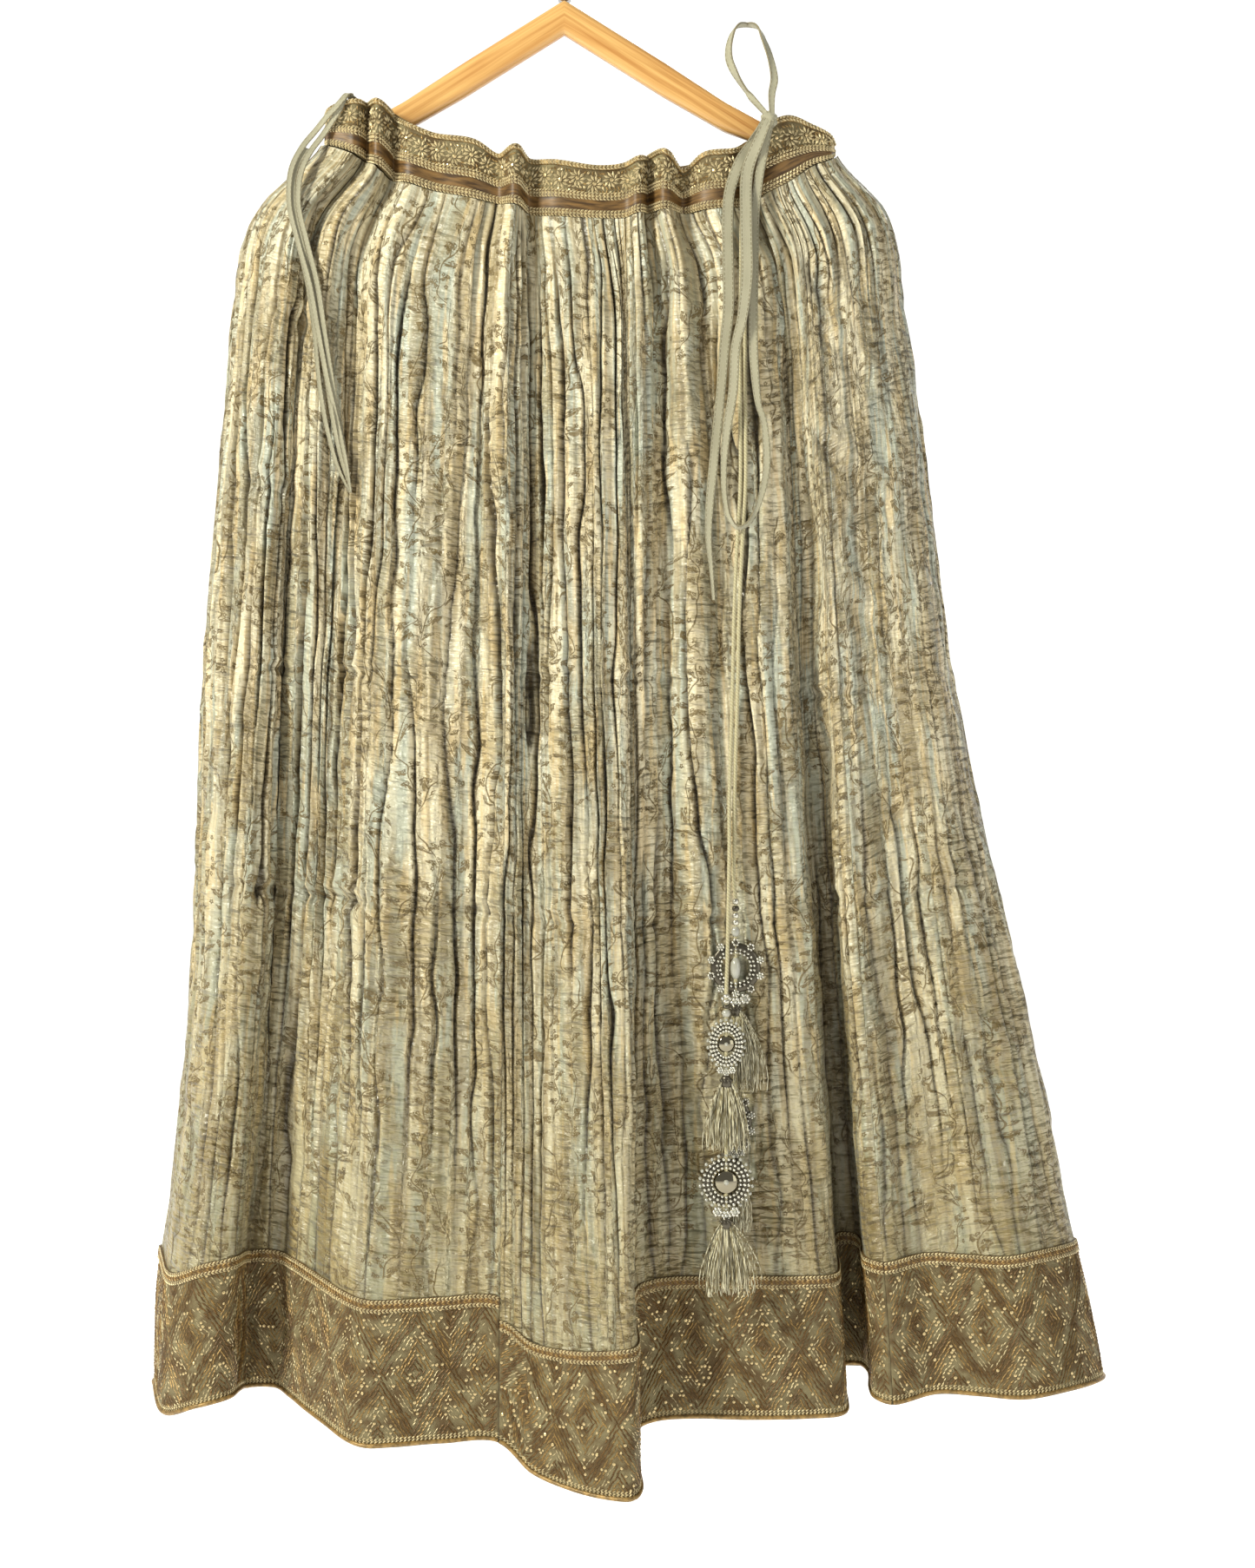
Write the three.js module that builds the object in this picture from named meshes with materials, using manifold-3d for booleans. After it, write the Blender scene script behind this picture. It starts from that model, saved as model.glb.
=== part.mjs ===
// A lehenga: a crinkle-pleated skirt with an embroidered border, hung flat by its waistband
// on a wooden hanger, with its cloth ties and a pair of tasselled cords.
// Millimetres, +Z up, the skirt's front towards -Y, the origin at the inside top of the hook.
import * as THREE from 'three';
import { mergeVertices } from 'three/addons/utils/BufferGeometryUtils.js';
import Module from 'manifold-3d';

const wasm = await Module();
wasm.setup();

// Cloth, seams and trims
const CLOTH = 1.6;
const SEAM_GAP = 0.3;
const WAIST_GAP = 0.7;
const TRIM = 1.3;
const LAYER_GAP = 0.3;
const BAND_PROUD = 0.4;
const BAND_WALL = 2;
const EDGING_HEIGHT = 4;
const STRIPE_HEIGHT = 20;
const BORDER_HEIGHT = 114;
const BRAID_HEIGHT = 9;
const PIPING_HEIGHT = 5;

// Shape of the skirt: its middle, how far it reaches to each side, how far it stands out in
// front and behind, and how late on the way down the hem's folds set in
const MIDDLE = 50;
const HALF_WIDTH = 388;
const FULLNESS = 75;
const FOLD_POWER = 1.6;

// The longest step along the waistband, and how far a smooth border may pass a bend
const LONG_STEP = 16;
const STRAIGHT = 1;

// Pleats: the least share of their depth that each keeps, where they stand unevenly
const LEAST_PLEAT = 0.55;

// Ties, cords and tassels
const TAPE = 1.5;
const CORD = 3;
const CORD_SIDES = 8;
const CORD_STEPS = 42;

function table(names, rows) {
  const keys = names.split(' ');
  return rows.map((row) => Object.fromEntries(row.map((value, i) => [keys[i], value])));
}

// The waistband's scalloped run: a row for each of its folds, seen from above, with the
// heights of its top and bottom edges. The front runs from left to right, the back returns.
const WAIST_FRONT = table('x y top bottom', [
  [-192, 0, -158, -181], [-187, -11, -154, -184], [-175, -18, -151, -189], [-165, -21, -150, -194],
  [-158, -13, -150, -197], [-148, -25, -151, -204], [-137, -13, -158, -212],
  [-124, -23, -169, -217], [-104, -22, -177, -223], [-72, -22, -182, -229],
  [-52, -16, -192, -232], [-38, -25, -187, -235], [-29, -12, -194, -239],
  [-6, -20, -198, -243], [28, -21, -203, -245], [50, -20, -200, -244],
  [60, -24, -196, -241], [67, -13, -192, -239], [81, -25, -191, -239],
  [95, -13, -203, -239], [113, -24, -193, -239], [136, -24, -190, -237],
  [148, -14, -180, -232], [161, -25, -171, -226], [179, -24, -164, -216],
  [197, -17, -169, -202], [212, -10, -175, -195], [217, 0, -181, -189],
]);
const WAIST_BACK = table('x y top bottom', [
  [217, 0, -181, -189], [212, 10, -175, -195], [198, 18, -169, -203], [180, 22, -163, -214],
  [150, 22, -178, -228], [120, 16, -190, -236], [85, 24, -194, -241],
  [45, 22, -200, -245], [5, 15, -203, -246], [-35, 23, -196, -241],
  [-75, 22, -187, -234], [-110, 15, -180, -226], [-145, 22, -163, -210],
  [-172, 18, -152, -192], [-187, 11, -155, -184], [-192, 0, -158, -181],
]);

// The hem, a row for each bend of its folds: its place, how far round the waist its cloth
// hangs from (0 to 1 along the front, 1 to 2 along the back), and the pleats to the next row.
const HEM = table('x y z waist pleats', [
  [-333, 20, -1189, 0, 3], [-317, -25, -1199, 0.035, 2], [-289, -48, -1188, 0.06, 2],
  [-266, -42, -1183, 0.08, 2], [-261, -14, -1183, 0.095, 1], [-258, 10, -1186, 0.105, 1],
  [-246, 6, -1184, 0.12, 1], [-233, 10, -1186, 0.135, 1], [-219, -10, -1189, 0.15, 3],
  [-190, -48, -1199, 0.19, 3], [-155, -84, -1209, 0.25, 1], [-132, -84, -1209, 0.275, 2],
  [-92, -76, -1208, 0.325, 3], [-49, -74, -1208, 0.385, 3], [-21, -88, -1229, 0.42, 3],
  [8, -104, -1237, 0.46, 2], [36, -117, -1240, 0.505, 2], [54, -121, -1240, 0.54, 1],
  [60, -110, -1237, 0.548, 1], [58, -90, -1226, 0.56, 2], [54, -70, -1212, 0.575, 1],
  [58, -55, -1203, 0.585, 1], [72, -46, -1199, 0.6, 2], [104, -44, -1197, 0.645, 2],
  [144, -52, -1196, 0.7, 3], [193, -48, -1196, 0.775, 2], [221, -38, -1196, 0.82, 1],
  [226, -14, -1192, 0.83, 1], [224, 30, -1180, 0.845, 1], [230, 46, -1176, 0.855, 1],
  [243, 46, -1176, 0.865, 1], [249, 28, -1178, 0.875, 1], [246, -14, -1182, 0.888, 1],
  [248, -34, -1184, 0.896, 1], [260, -45, -1186, 0.905, 2], [297, -31, -1181, 0.93, 2],
  [331, -34, -1182, 0.95, 2], [365, -40, -1183, 0.97, 2], [401, -27, -1180, 0.985, 2],
  [434, 5, -1179, 1, 2], [437, 44, -1182, 1.03, 2], [415, 82, -1186, 1.07, 2],
  [380, 96, -1188, 1.12, 2], [345, 84, -1186, 1.17, 2], [305, 82, -1186, 1.22, 2],
  [268, 104, -1190, 1.27, 2], [225, 120, -1193, 1.33, 3], [178, 108, -1191, 1.39, 2],
  [138, 90, -1188, 1.45, 2], [95, 98, -1190, 1.5, 2], [50, 124, -1195, 1.56, 3],
  [3, 130, -1196, 1.62, 2], [-38, 110, -1193, 1.67, 2], [-78, 94, -1190, 1.72, 2],
  [-120, 104, -1192, 1.77, 2], [-165, 122, -1195, 1.82, 3], [-210, 114, -1193, 1.87, 2],
  [-250, 92, -1190, 1.91, 2], [-288, 84, -1189, 1.945, 2], [-320, 66, -1188, 1.975, 2],
  [-337, 44, -1188, 1.99, 1],
]);
const RIGHT_SIDE = 39;

// The three widths of cloth, each from one hem row to another. The middle one's border is
// set lower at its left seam and evens out along the hem.
const PANELS = [
  { name: 'left', from: 55, to: 13 + HEM.length, drop: 0 },
  { name: 'middle', from: 13, to: 34, drop: 18 },
  { name: 'right', from: 34, to: 55, drop: 0 },
];
const DROP_LENGTH = 110;

// How the cloth spreads on its way down: the share of its final width on the left and on
// the right, the share of its final depth, and how deep the pleats stand.
const SPREAD = table('down left right depth pleat', [
  [0, 0, 0, 0, 0.4], [0.045, 0.37, 0.194, 0.2, 2.2], [0.075, 0.467, 0.23, 0.28, 2.6],
  [0.15, 0.533, 0.273, 0.42, 3], [0.25, 0.59, 0.343, 0.54, 3.2], [0.41, 0.679, 0.42, 0.68, 3.2],
  [0.52, 0.715, 0.52, 0.75, 3], [0.64, 0.752, 0.648, 0.82, 2.6], [0.76, 0.839, 0.778, 0.88, 2],
  [0.87, 0.94, 0.875, 0.94, 0.5], [0.93, 0.985, 0.94, 0.97, 0], [1, 1, 1, 1, 0],
]);
const SKIRT_ROWS = [0, 0.05, 0.13, 0.32, 0.56, 0.8, 1];
const BORDER_ROWS = [0, 1];

const lerp = THREE.MathUtils.lerp;
const clamp = THREE.MathUtils.clamp;

function along(rows, key, down) {
  let k = 1;
  while (k < rows.length - 1 && rows[k].down < down) k += 1;
  const share = (down - rows[k - 1].down) / (rows[k].down - rows[k - 1].down);
  return lerp(rows[k - 1][key], rows[k][key], clamp(share, 0, 1));
}

// A fixed, uneven number from 0 to 1 for each whole number
function uneven(number) {
  const wave = Math.sin(number * 12.9898) * 43758.5453;
  return wave - Math.floor(wave);
}

// A closed wall between two grids of points, row by row from its top
function wall(outer, inner) {
  const low = outer.length - 1;
  const end = outer[0].length - 1;
  const corners = [];
  const quad = (a, b, c, d) => corners.push(a, b, c, a, c, d);
  for (let r = 0; r < low; r += 1) {
    for (let c = 0; c < end; c += 1) {
      quad(outer[r][c], outer[r + 1][c], outer[r + 1][c + 1], outer[r][c + 1]);
      quad(inner[r][c], inner[r][c + 1], inner[r + 1][c + 1], inner[r + 1][c]);
    }
    quad(outer[r + 1][0], outer[r][0], inner[r][0], inner[r + 1][0]);
    quad(outer[r][end], outer[r + 1][end], inner[r + 1][end], inner[r][end]);
  }
  for (let c = 0; c < end; c += 1) {
    quad(outer[0][c], outer[0][c + 1], inner[0][c + 1], inner[0][c]);
    quad(outer[low][c + 1], outer[low][c], inner[low][c], inner[low][c + 1]);
  }
  return new THREE.BufferGeometry().setFromPoints(corners);
}

// Waistband: the points along one side of it, with one more halfway along each long step
function waistRun(rows) {
  const lower = new THREE.CatmullRomCurve3(rows.map((r) => new THREE.Vector3(r.x, r.y, r.bottom)));
  const upper = new THREE.CatmullRomCurve3(rows.map((r) => new THREE.Vector3(r.x, r.y, r.top)));
  const last = rows.length - 1;
  const shares = [];
  for (let i = 0; i < last; i += 1) {
    shares.push(i / last);
    if (Math.hypot(rows[i + 1].x - rows[i].x, rows[i + 1].y - rows[i].y) > LONG_STEP) {
      shares.push((i + 0.5) / last);
    }
  }
  shares.push(1);
  const run = shares.map((share) => {
    const point = lower.getPoint(share);
    return { x: point.x, y: point.y, bottom: point.z, top: upper.getPoint(share).z, far: 0 };
  });
  for (let i = 1; i < run.length; i += 1) {
    run[i].far = run[i - 1].far + Math.hypot(run[i].x - run[i - 1].x, run[i].y - run[i - 1].y);
  }
  return run;
}

const waistFront = waistRun(WAIST_FRONT);
const waistBack = waistRun(WAIST_BACK);

function waistAt(share) {
  const run = share <= 1 ? waistFront : waistBack;
  const far = (share <= 1 ? share : share - 1) * run[run.length - 1].far;
  let k = 1;
  while (k < run.length - 1 && run[k].far < far) k += 1;
  const part = (far - run[k - 1].far) / (run[k].far - run[k - 1].far);
  const mix = (key) => lerp(run[k - 1][key], run[k][key], part);
  return { x: mix('x'), y: mix('y'), z: mix('bottom') - WAIST_GAP };
}

// Skirt: its columns, a valley and a crest for each pleat, all the way round
function skirtColumns() {
  const hemLine = new THREE.CatmullRomCurve3(
    HEM.map((r) => new THREE.Vector3(r.x, r.y, r.z)), true);
  const columns = [];
  HEM.forEach((row, i) => {
    const next = HEM[i + 1] ?? { waist: 2 };
    const steps = 2 * row.pleats;
    for (let k = 0; k < steps; k += 1) {
      columns.push({
        row: k === 0 ? i : -1,
        hem: hemLine.getPoint((i + k / steps) / HEM.length),
        waist: waistAt(lerp(row.waist, next.waist, k / steps)),
        back: i >= RIGHT_SIDE,
      });
    }
  });
  return columns;
}

const columns = skirtColumns();

function columnAt(i) {
  return columns[(i + columns.length) % columns.length];
}

function clothAt(column, down) {
  const { waist, hem, back } = column;
  const side = clamp((hem.x - MIDDLE) / HALF_WIDTH, -1, 1);
  const rightness = (side + 1) / 2;
  const width = lerp(along(SPREAD, 'left', down), along(SPREAD, 'right', down), rightness);
  const swell = (back ? 1 : -1) * FULLNESS * Math.sqrt(1 - side * side);
  const fold = (hem.y - waist.y - swell) * down ** FOLD_POWER;
  return new THREE.Vector3(
    lerp(waist.x, hem.x, width),
    waist.y + swell * along(SPREAD, 'depth', down) + fold,
    lerp(waist.z, hem.z, down));
}

// The cloth's point at a column, moved out from its face
function clothPoint(i, down, out, pleated) {
  const before = clothAt(columnAt(i - 1), down);
  const after = clothAt(columnAt(i + 1), down);
  const face = new THREE.Vector3(after.y - before.y, before.x - after.x, 0);
  const pitch = face.length() / 2;
  const crest = i % 2 === 0 ? -1 : 1;
  const depth = Math.min(along(SPREAD, 'pleat', down), pitch / 2);
  const pleat = pleated ? crest * depth * lerp(LEAST_PLEAT, 1, uneven(i)) : 0;
  return clothAt(columnAt(i), down).addScaledVector(face.normalize(), out + pleat);
}

function borderDepth(panel, i) {
  const start = columnAt(panel.first).hem;
  const far = Math.hypot(columnAt(i).hem.x - start.x, columnAt(i).hem.y - start.y);
  return BORDER_HEIGHT - panel.drop * clamp(1 - far / DROP_LENGTH, 0, 1);
}

function downAt(i, aboveHem) {
  const { waist, hem } = columnAt(i);
  return 1 - aboveHem / (waist.z - hem.z);
}

// The seam between cloth and border runs straight past each column that the border drops
function seamDown(panel, kept, i) {
  const down = downAt(i, borderDepth(panel, i));
  if (kept.includes(i)) return down;
  const here = clothAt(columnAt(i), down);
  const after = kept.findIndex((k) => k > i);
  const [a, b] = [kept[after - 1], kept[after]]
    .map((k) => clothAt(columnAt(k), downAt(k, borderDepth(panel, k))));
  const share = ((here.x - a.x) * (b.x - a.x) + (here.y - a.y) * (b.y - a.y))
    / ((b.x - a.x) ** 2 + (b.y - a.y) ** 2);
  const { waist, hem } = columnAt(i);
  return (waist.z - lerp(a.z, b.z, share)) / (waist.z - hem.z);
}

// A strip of one panel between two heights above the hem, from chosen columns, its two
// ends drawn in by half the seam's gap
function strip(places, rows, heights, out, thick, pleated) {
  const face = (offset) => rows.map((row) => {
    const line = places.map((i) => {
      const { top, bottom } = heights(i);
      return clothPoint(i, lerp(top, bottom, row), offset, pleated);
    });
    const e = line.length - 1;
    const first = line[1].clone().sub(line[0]).setLength(SEAM_GAP / 2);
    const last = line[e - 1].clone().sub(line[e]).setLength(SEAM_GAP / 2);
    line[0].add(first);
    line[e].add(last);
    return line;
  });
  return wall(face(out), face(out - thick));
}

function panelColumns(panel) {
  const find = (row) => {
    const lap = row >= HEM.length ? columns.length : 0;
    return columns.findIndex((c) => c.row === row % HEM.length) + lap;
  };
  panel.first = find(panel.from);
  panel.last = find(panel.to);
  return Array.from({ length: panel.last - panel.first + 1 }, (_, k) => panel.first + k);
}

// The border lies smooth, so it drops each column that the hem passes almost straight
function smoothColumns(all) {
  const kept = (from, to) => {
    const a = columnAt(all[from]).hem;
    const b = columnAt(all[to]).hem;
    const length = Math.hypot(b.x - a.x, b.y - a.y);
    const offset = (k) => {
      const p = columnAt(all[k]).hem;
      return Math.abs((b.x - a.x) * (p.y - a.y) - (b.y - a.y) * (p.x - a.x)) / length;
    };
    let far = from + 1;
    for (let k = from + 1; k < to; k += 1) {
      if (offset(k) > offset(far)) far = k;
    }
    if (to - from < 2 || offset(far) < STRAIGHT) return [all[from]];
    return [...kept(from, far), ...kept(far, to)];
  };
  return [...kept(0, all.length - 1), all[all.length - 1]];
}

// The front of the cloth or waistband about a place, for what hangs before it
const NEAR_X = 8;
const NEAR_Z = 16;

function frontAt(x, z) {
  return Math.min(...[-NEAR_Z, 0, NEAR_Z].map((step) => frontOn(x, z + step)));
}

function frontOn(x, z) {
  let front = Infinity;
  for (const step of [-1, -0.5, 0, 0.5, 1]) {
    const place = clamp(x + step * NEAR_X, waistFront[0].x, waistFront[waistFront.length - 1].x);
    const k = Math.max(1, waistFront.findIndex((p) => p.x >= place));
    const [a, b] = [waistFront[k - 1], waistFront[k]];
    const share = (place - a.x) / (b.x - a.x);
    if (z > lerp(a.bottom, b.bottom, share)) {
      front = Math.min(front, lerp(a.y, b.y, share) - BAND_PROUD - LAYER_GAP - TRIM);
    }
  }
  columns.forEach((column, i) => {
    const down = (column.waist.z - z) / (column.waist.z - column.hem.z);
    if (column.back || down < 0 || down > 1) return;
    const point = clothPoint(i, down, 0, true);
    if (Math.abs(point.x - x) < NEAR_X) front = Math.min(front, point.y);
  });
  return front;
}

// Ties and tapes: a flat strip along its rows. slant is the way its width points, in
// degrees from +X, and turn is how far that width is turned towards the viewer.
function ribbon(rows) {
  const centres = rows.map((r) => new THREE.Vector3(r.x, frontAt(r.x, r.z) - r.lift, r.z));
  const rings = rows.map((row, i) => {
    const before = centres[Math.max(i - 1, 0)];
    const after = centres[Math.min(i + 1, rows.length - 1)];
    const course = after.clone().sub(before).normalize();
    const slant = THREE.MathUtils.degToRad(row.slant);
    const turn = THREE.MathUtils.degToRad(row.turn);
    const across = new THREE.Vector3(
      Math.cos(slant) * Math.cos(turn), -Math.sin(turn), Math.sin(slant) * Math.cos(turn));
    across.addScaledVector(course, -across.dot(course)).normalize();
    const face = new THREE.Vector3().crossVectors(course, across);
    const corner = (u, w) => centres[i].clone()
      .addScaledVector(across, u * row.width / 2)
      .addScaledVector(face, w * TAPE / 2);
    return [corner(-1, -1), corner(1, -1), corner(1, 1), corner(-1, 1)];
  });
  return tube(rings);
}

// A closed body through rings of corners that run one after the other
function tube(rings) {
  const corners = [];
  const count = rings[0].length;
  for (let r = 0; r < rings.length - 1; r += 1) {
    for (let c = 0; c < count; c += 1) {
      const n = (c + 1) % count;
      const [a, b, d, e] = [rings[r][c], rings[r][n], rings[r + 1][n], rings[r + 1][c]];
      corners.push(a, b, d, a, d, e);
    }
  }
  const first = rings[0];
  const last = rings[rings.length - 1];
  for (let c = 1; c < count - 1; c += 1) {
    corners.push(first[0], first[c + 1], first[c]);
    corners.push(last[0], last[c], last[c + 1]);
  }
  return new THREE.BufferGeometry().setFromPoints(corners);
}

// Left: a folded tape that comes over the band's top and hangs double, its fold below
const HANG_TAPE = table('x z lift width slant turn', [
  [-167, -164, -13.5, 9, 0, 0], [-168, -153, -13.5, 9, 0, 0], [-169, -148.2, -11, 9, 0, 0],
  [-171, -146.8, -5, 9, 0, 0], [-173.5, -148, -0.8, 9, 0, 0], [-176, -152, -0.2, 9, -16, 0],
  [-181, -159, 0.8, 10, -38, 0], [-186, -165, 2.4, 10, -40, 0],
  [-195, -176, 3.6, 10, -35, 0], [-205, -191, 3.6, 10, -28, 0],
  [-212, -210, 3.6, 10, -14, 0], [-213, -238, 3.6, 9, 5, 0], [-206, -268, 3.6, 9, 14, 0],
  [-196, -304, 3.6, 9, 15, 0], [-190, -340, 3.6, 9, 10, 0], [-183, -380, 3.6, 9, 12, 0],
  [-177, -410, 3.6, 8, 12, 0], [-171, -441, 3.6, 7, 12, 0], [-167.5, -463, 3.5, 4, 10, 0],
  [-167, -466.5, 2.4, 3, 10, 0], [-168.5, -463, 1.2, 4, 10, 0], [-176, -444, 1.2, 7, 14, 0],
  [-183, -414, 1.2, 8, 14, 0], [-188, -384, 1.2, 8, 14, 0], [-193, -340, 1.2, 8, 10, 0],
  [-199, -304, 1.2, 8, 14, 0], [-208, -268, 1.2, 8, 14, 0], [-214, -238, 1.2, 8, 5, 0],
  [-213, -210, 1.2, 8, -14, 0], [-205, -190, 1.2, 8, -28, 0],
]);

// Right: the tie's loose end, its long loop and its short upper loop, from one knot
const TIE_TAIL = table('x z lift width slant turn', [
  [160, -171, 9.5, 7, 0, 0], [155, -180, 9.5, 8, -8, 0], [148, -189, 6, 9, -18, 0], [140, -203, 4.4, 11, -22, 0],
  [132, -226, 4, 11, -12, 0], [130, -250, 3, 11, 0, 0], [130, -286, 3, 11, 0, 0],
  [130, -324, 3, 11, 0, 0], [127, -352, 3, 10, -5, 0], [124, -388, 3, 9, -5, 0],
  [121, -418, 3, 9, -6, 0], [118, -447, 3, 9, -6, 0], [115, -478, 3, 8, 0, 0],
  [114, -504, 3, 6, 3, 0], [116, -528, 3, 4, 4, 0], [118, -553, 3, 3, 4, 0],
]);
const TIE_LOOP = table('x z lift width slant turn', [
  [162, -171, 9.5, 8, 0, 0], [155, -187, 10.5, 11, -14, 0], [146, -210, 12, 12, -8, 0],
  [144, -250, 14, 12, 0, 0], [144, -300, 12, 12, 0, 0], [140, -334, 12, 10, -8, 0],
  [135, -356, 11, 9, -8, 0], [133, -390, 10, 9, -6, 0], [128, -422, 9, 8, -6, 0],
  [126, -450, 8, 6, 0, 0], [127, -474, 8.4, 5, 6, 20], [130.5, -489, 9, 5, 30, 40],
  [137, -497, 9.4, 5, 90, 50], [145, -493.5, 8, 5, 120, 40], [151, -483, 6.4, 5, 150, 20],
  [156, -468, 5.4, 6, 165, 0], [159, -452, 5.4, 7, 180, 0], [159, -431, 5.4, 7, 184, 0],
  [157, -413, 5.4, 6, 190, 0], [153, -400, 5.4, 6, 190, 0], [150.5, -379, 5.4, 8, 186, 0],
  [149, -352, 7, 9, 180, 0], [149, -324, 7.5, 9, 180, 0], [150, -284, 7.5, 9, 178, 0],
  [151, -250, 9, 9, 176, 0], [155, -215, 7, 9, 172, 0], [160, -190, 6, 8, 172, 0],
  [164, -171, 9.5, 7, 180, 0],
]);
const TIE_UP = table('x z lift width slant turn', [
  [161, -167, 8, 5, 0, 20], [146, -148, 7, 7, -50, 15], [136, -134, 6, 8, -35, 20],
  [131, -121, 6, 8, -10, 30], [132, -108, 6, 7, 15, 45], [137, -97, 6, 7, 40, 70],
  [146, -92, 6, 7, 90, 80], [154, -97, 6, 7, 140, 70], [159, -108, 6, 7, 165, 45],
  [164, -122, 6, 7, 168, 30], [167, -138, 6, 8, 185, 20], [165, -150, 7, 7, 195, 15],
  [165, -167, 8, 5, 180, 20],
]);
const KNOT = { x: 163, y: -33.85, z: -170, radius: 6.5, height: 13 };
const KNOT_SIDES = 10;

// The two cords, one beside the other, from under the knot to their tassels
const CORD_NEAR = [
  [164.4, -32.4, -175.8], [164.2, -32.2, -178], [153, -26, -190], [147, -24, -214], [145.5, -33, -238],
  [144, -46, -284], [143, -54, -345],
  [143, -59, -408], [143, -62, -462], [140, -63, -517], [138, -63.5, -564], [137, -64.5, -609],
  [136, -65, -647], [135, -65.5, -677], [134, -66, -715], [134, -67, -745], [133.5, -67.5, -770],
  [135, -68, -785],
];
const CORD_FAR = [
  [160.6, -32.4, -175.8], [160.4, -32.2, -178], [149, -26, -190], [143, -24, -214], [141.5, -33, -238],
  [140, -46, -284], [139, -54, -345],
  [139, -59, -408], [139, -61.5, -462], [136, -62, -517], [134, -63, -564], [133, -64.5, -609],
  [132, -65, -647], [131, -66, -677], [130, -68, -715], [130, -71, -745], [129, -76, -791],
  [128, -81, -831], [127, -84, -858],
];

function cordGeometry(route) {
  const path = new THREE.CatmullRomCurve3(route.map((p) => new THREE.Vector3(...p)));
  const section = new THREE.Shape();
  for (let k = 0; k < CORD_SIDES; k += 1) {
    const angle = 2 * Math.PI * k / CORD_SIDES;
    const move = k === 0 ? 'moveTo' : 'lineTo';
    section[move](CORD / 2 * Math.cos(angle), CORD / 2 * Math.sin(angle));
  }
  section.closePath();
  return new THREE.ExtrudeGeometry(section, { steps: CORD_STEPS, extrudePath: path });
}

// Solids for joining
function solid(geometry) {
  const bare = geometry.index ? geometry.toNonIndexed() : geometry.clone();
  bare.deleteAttribute('normal');
  bare.deleteAttribute('uv');
  const merged = mergeVertices(bare, 1e-4);
  return new wasm.Manifold(new wasm.Mesh({
    numProp: 3,
    vertProperties: new Float32Array(merged.attributes.position.array),
    triVerts: new Uint32Array(merged.index.array),
  }));
}

function join(geometries) {
  const mesh = geometries.map(solid).reduce((sum, next) => sum.add(next)).getMesh();
  const joined = new THREE.BufferGeometry();
  joined.setAttribute('position', new THREE.BufferAttribute(mesh.vertProperties, 3));
  joined.setIndex(new THREE.BufferAttribute(mesh.triVerts, 1));
  return joined;
}

function turned(profile, sides) {
  const points = profile.map(([radius, height]) => new THREE.Vector2(radius, height));
  const lathe = new THREE.LatheGeometry(points, sides);
  lathe.rotateX(Math.PI / 2);
  return lathe;
}

function bead(radius) {
  return new THREE.OctahedronGeometry(radius, 0);
}

// Beads threaded on each other: radii from the lowest up, with a narrow neck between
const NECK = 0.9;
const BEAD_SIDES = 6;

function beadString(radii) {
  const profile = [[0, 0], [NECK, 0]];
  let height = 0;
  radii.forEach((radius) => {
    profile.push([radius, height + 0.5 * radius], [radius, height + 1.2 * radius]);
    height += 1.7 * radius;
    profile.push([NECK, height]);
  });
  profile.push([0, height]);
  return { geometry: turned(profile, BEAD_SIDES), height };
}

// A round ornament: a ring set with beads, a drop hung in it and a beaded foot below
const RING_STEPS = 14;

function medallion({ radius, hole, tall, beads, foot }) {
  const middle = (radius + hole) / 2;
  const half = (radius - hole) / 2;
  const ring = new THREE.TorusGeometry(middle, half, 4, RING_STEPS);
  ring.rotateX(Math.PI / 2);
  const pieces = [ring];
  for (let k = 0; k < beads; k += 1) {
    const angle = 2 * Math.PI * (k / beads + 0.25);
    pieces.push(bead(half * 1.35).translate(
      radius * Math.cos(angle), 0, radius * Math.sin(angle)));
  }
  pieces.push(bead(hole * 0.45).scale(0.9, 0.7, 2).translate(0, 0, hole * 0.3));
  for (const side of [-1, 0, 1]) {
    const low = radius + foot * (side === 0 ? 0.6 : 0.2);
    pieces.push(bead(foot * 1.15).translate(side * foot * 1.1, 0, -low));
  }
  return join(pieces).scale(1, 1, tall);
}

// A tassel: a turned head, a middle strand that the next ornament hangs from, and loose
// strands that spread and lean to one side
const STRAND = 0.9;

function tassel({ head, length, spread, lean, strands }) {
  const pieces = [turned([
    [0, 0], [head, 0], [head * 1.1, head * 1.2], [head * 0.5, head * 2], [0, head * 2],
  ], 6)];
  pieces.push(strand(new THREE.Vector3(0, 0, head * 0.5), new THREE.Vector3(0, 0, -length)));
  for (let k = 0; k < strands; k += 1) {
    const across = 2 * k / (strands - 1) - 1;
    const deep = (k % 2 === 0 ? -1 : 1) * (0.35 + 0.5 * uneven(k));
    const drop = length * (0.82 + 0.18 * uneven(k + 7));
    const top = new THREE.Vector3(across * head * 0.75, deep * head * 0.5, head * 0.5);
    const tip = new THREE.Vector3(across * spread + lean, deep * head * 1.5, -drop);
    pieces.push(strand(top, tip));
  }
  return join(pieces);
}

function strand(top, tip) {
  const bend = top.clone().lerp(tip, 0.45);
  bend.x = lerp(top.x, tip.x, 0.7);
  const ring = (centre, size) => [0, 1, 2].map((k) => {
    const angle = 2 * Math.PI * k / 3;
    return new THREE.Vector3(
      centre.x + size * Math.cos(angle), centre.y - size * Math.sin(angle), centre.z);
  });
  return tube([ring(top, STRAND), ring(bend, STRAND * 1.1), ring(tip, STRAND * 0.6)]);
}

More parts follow.
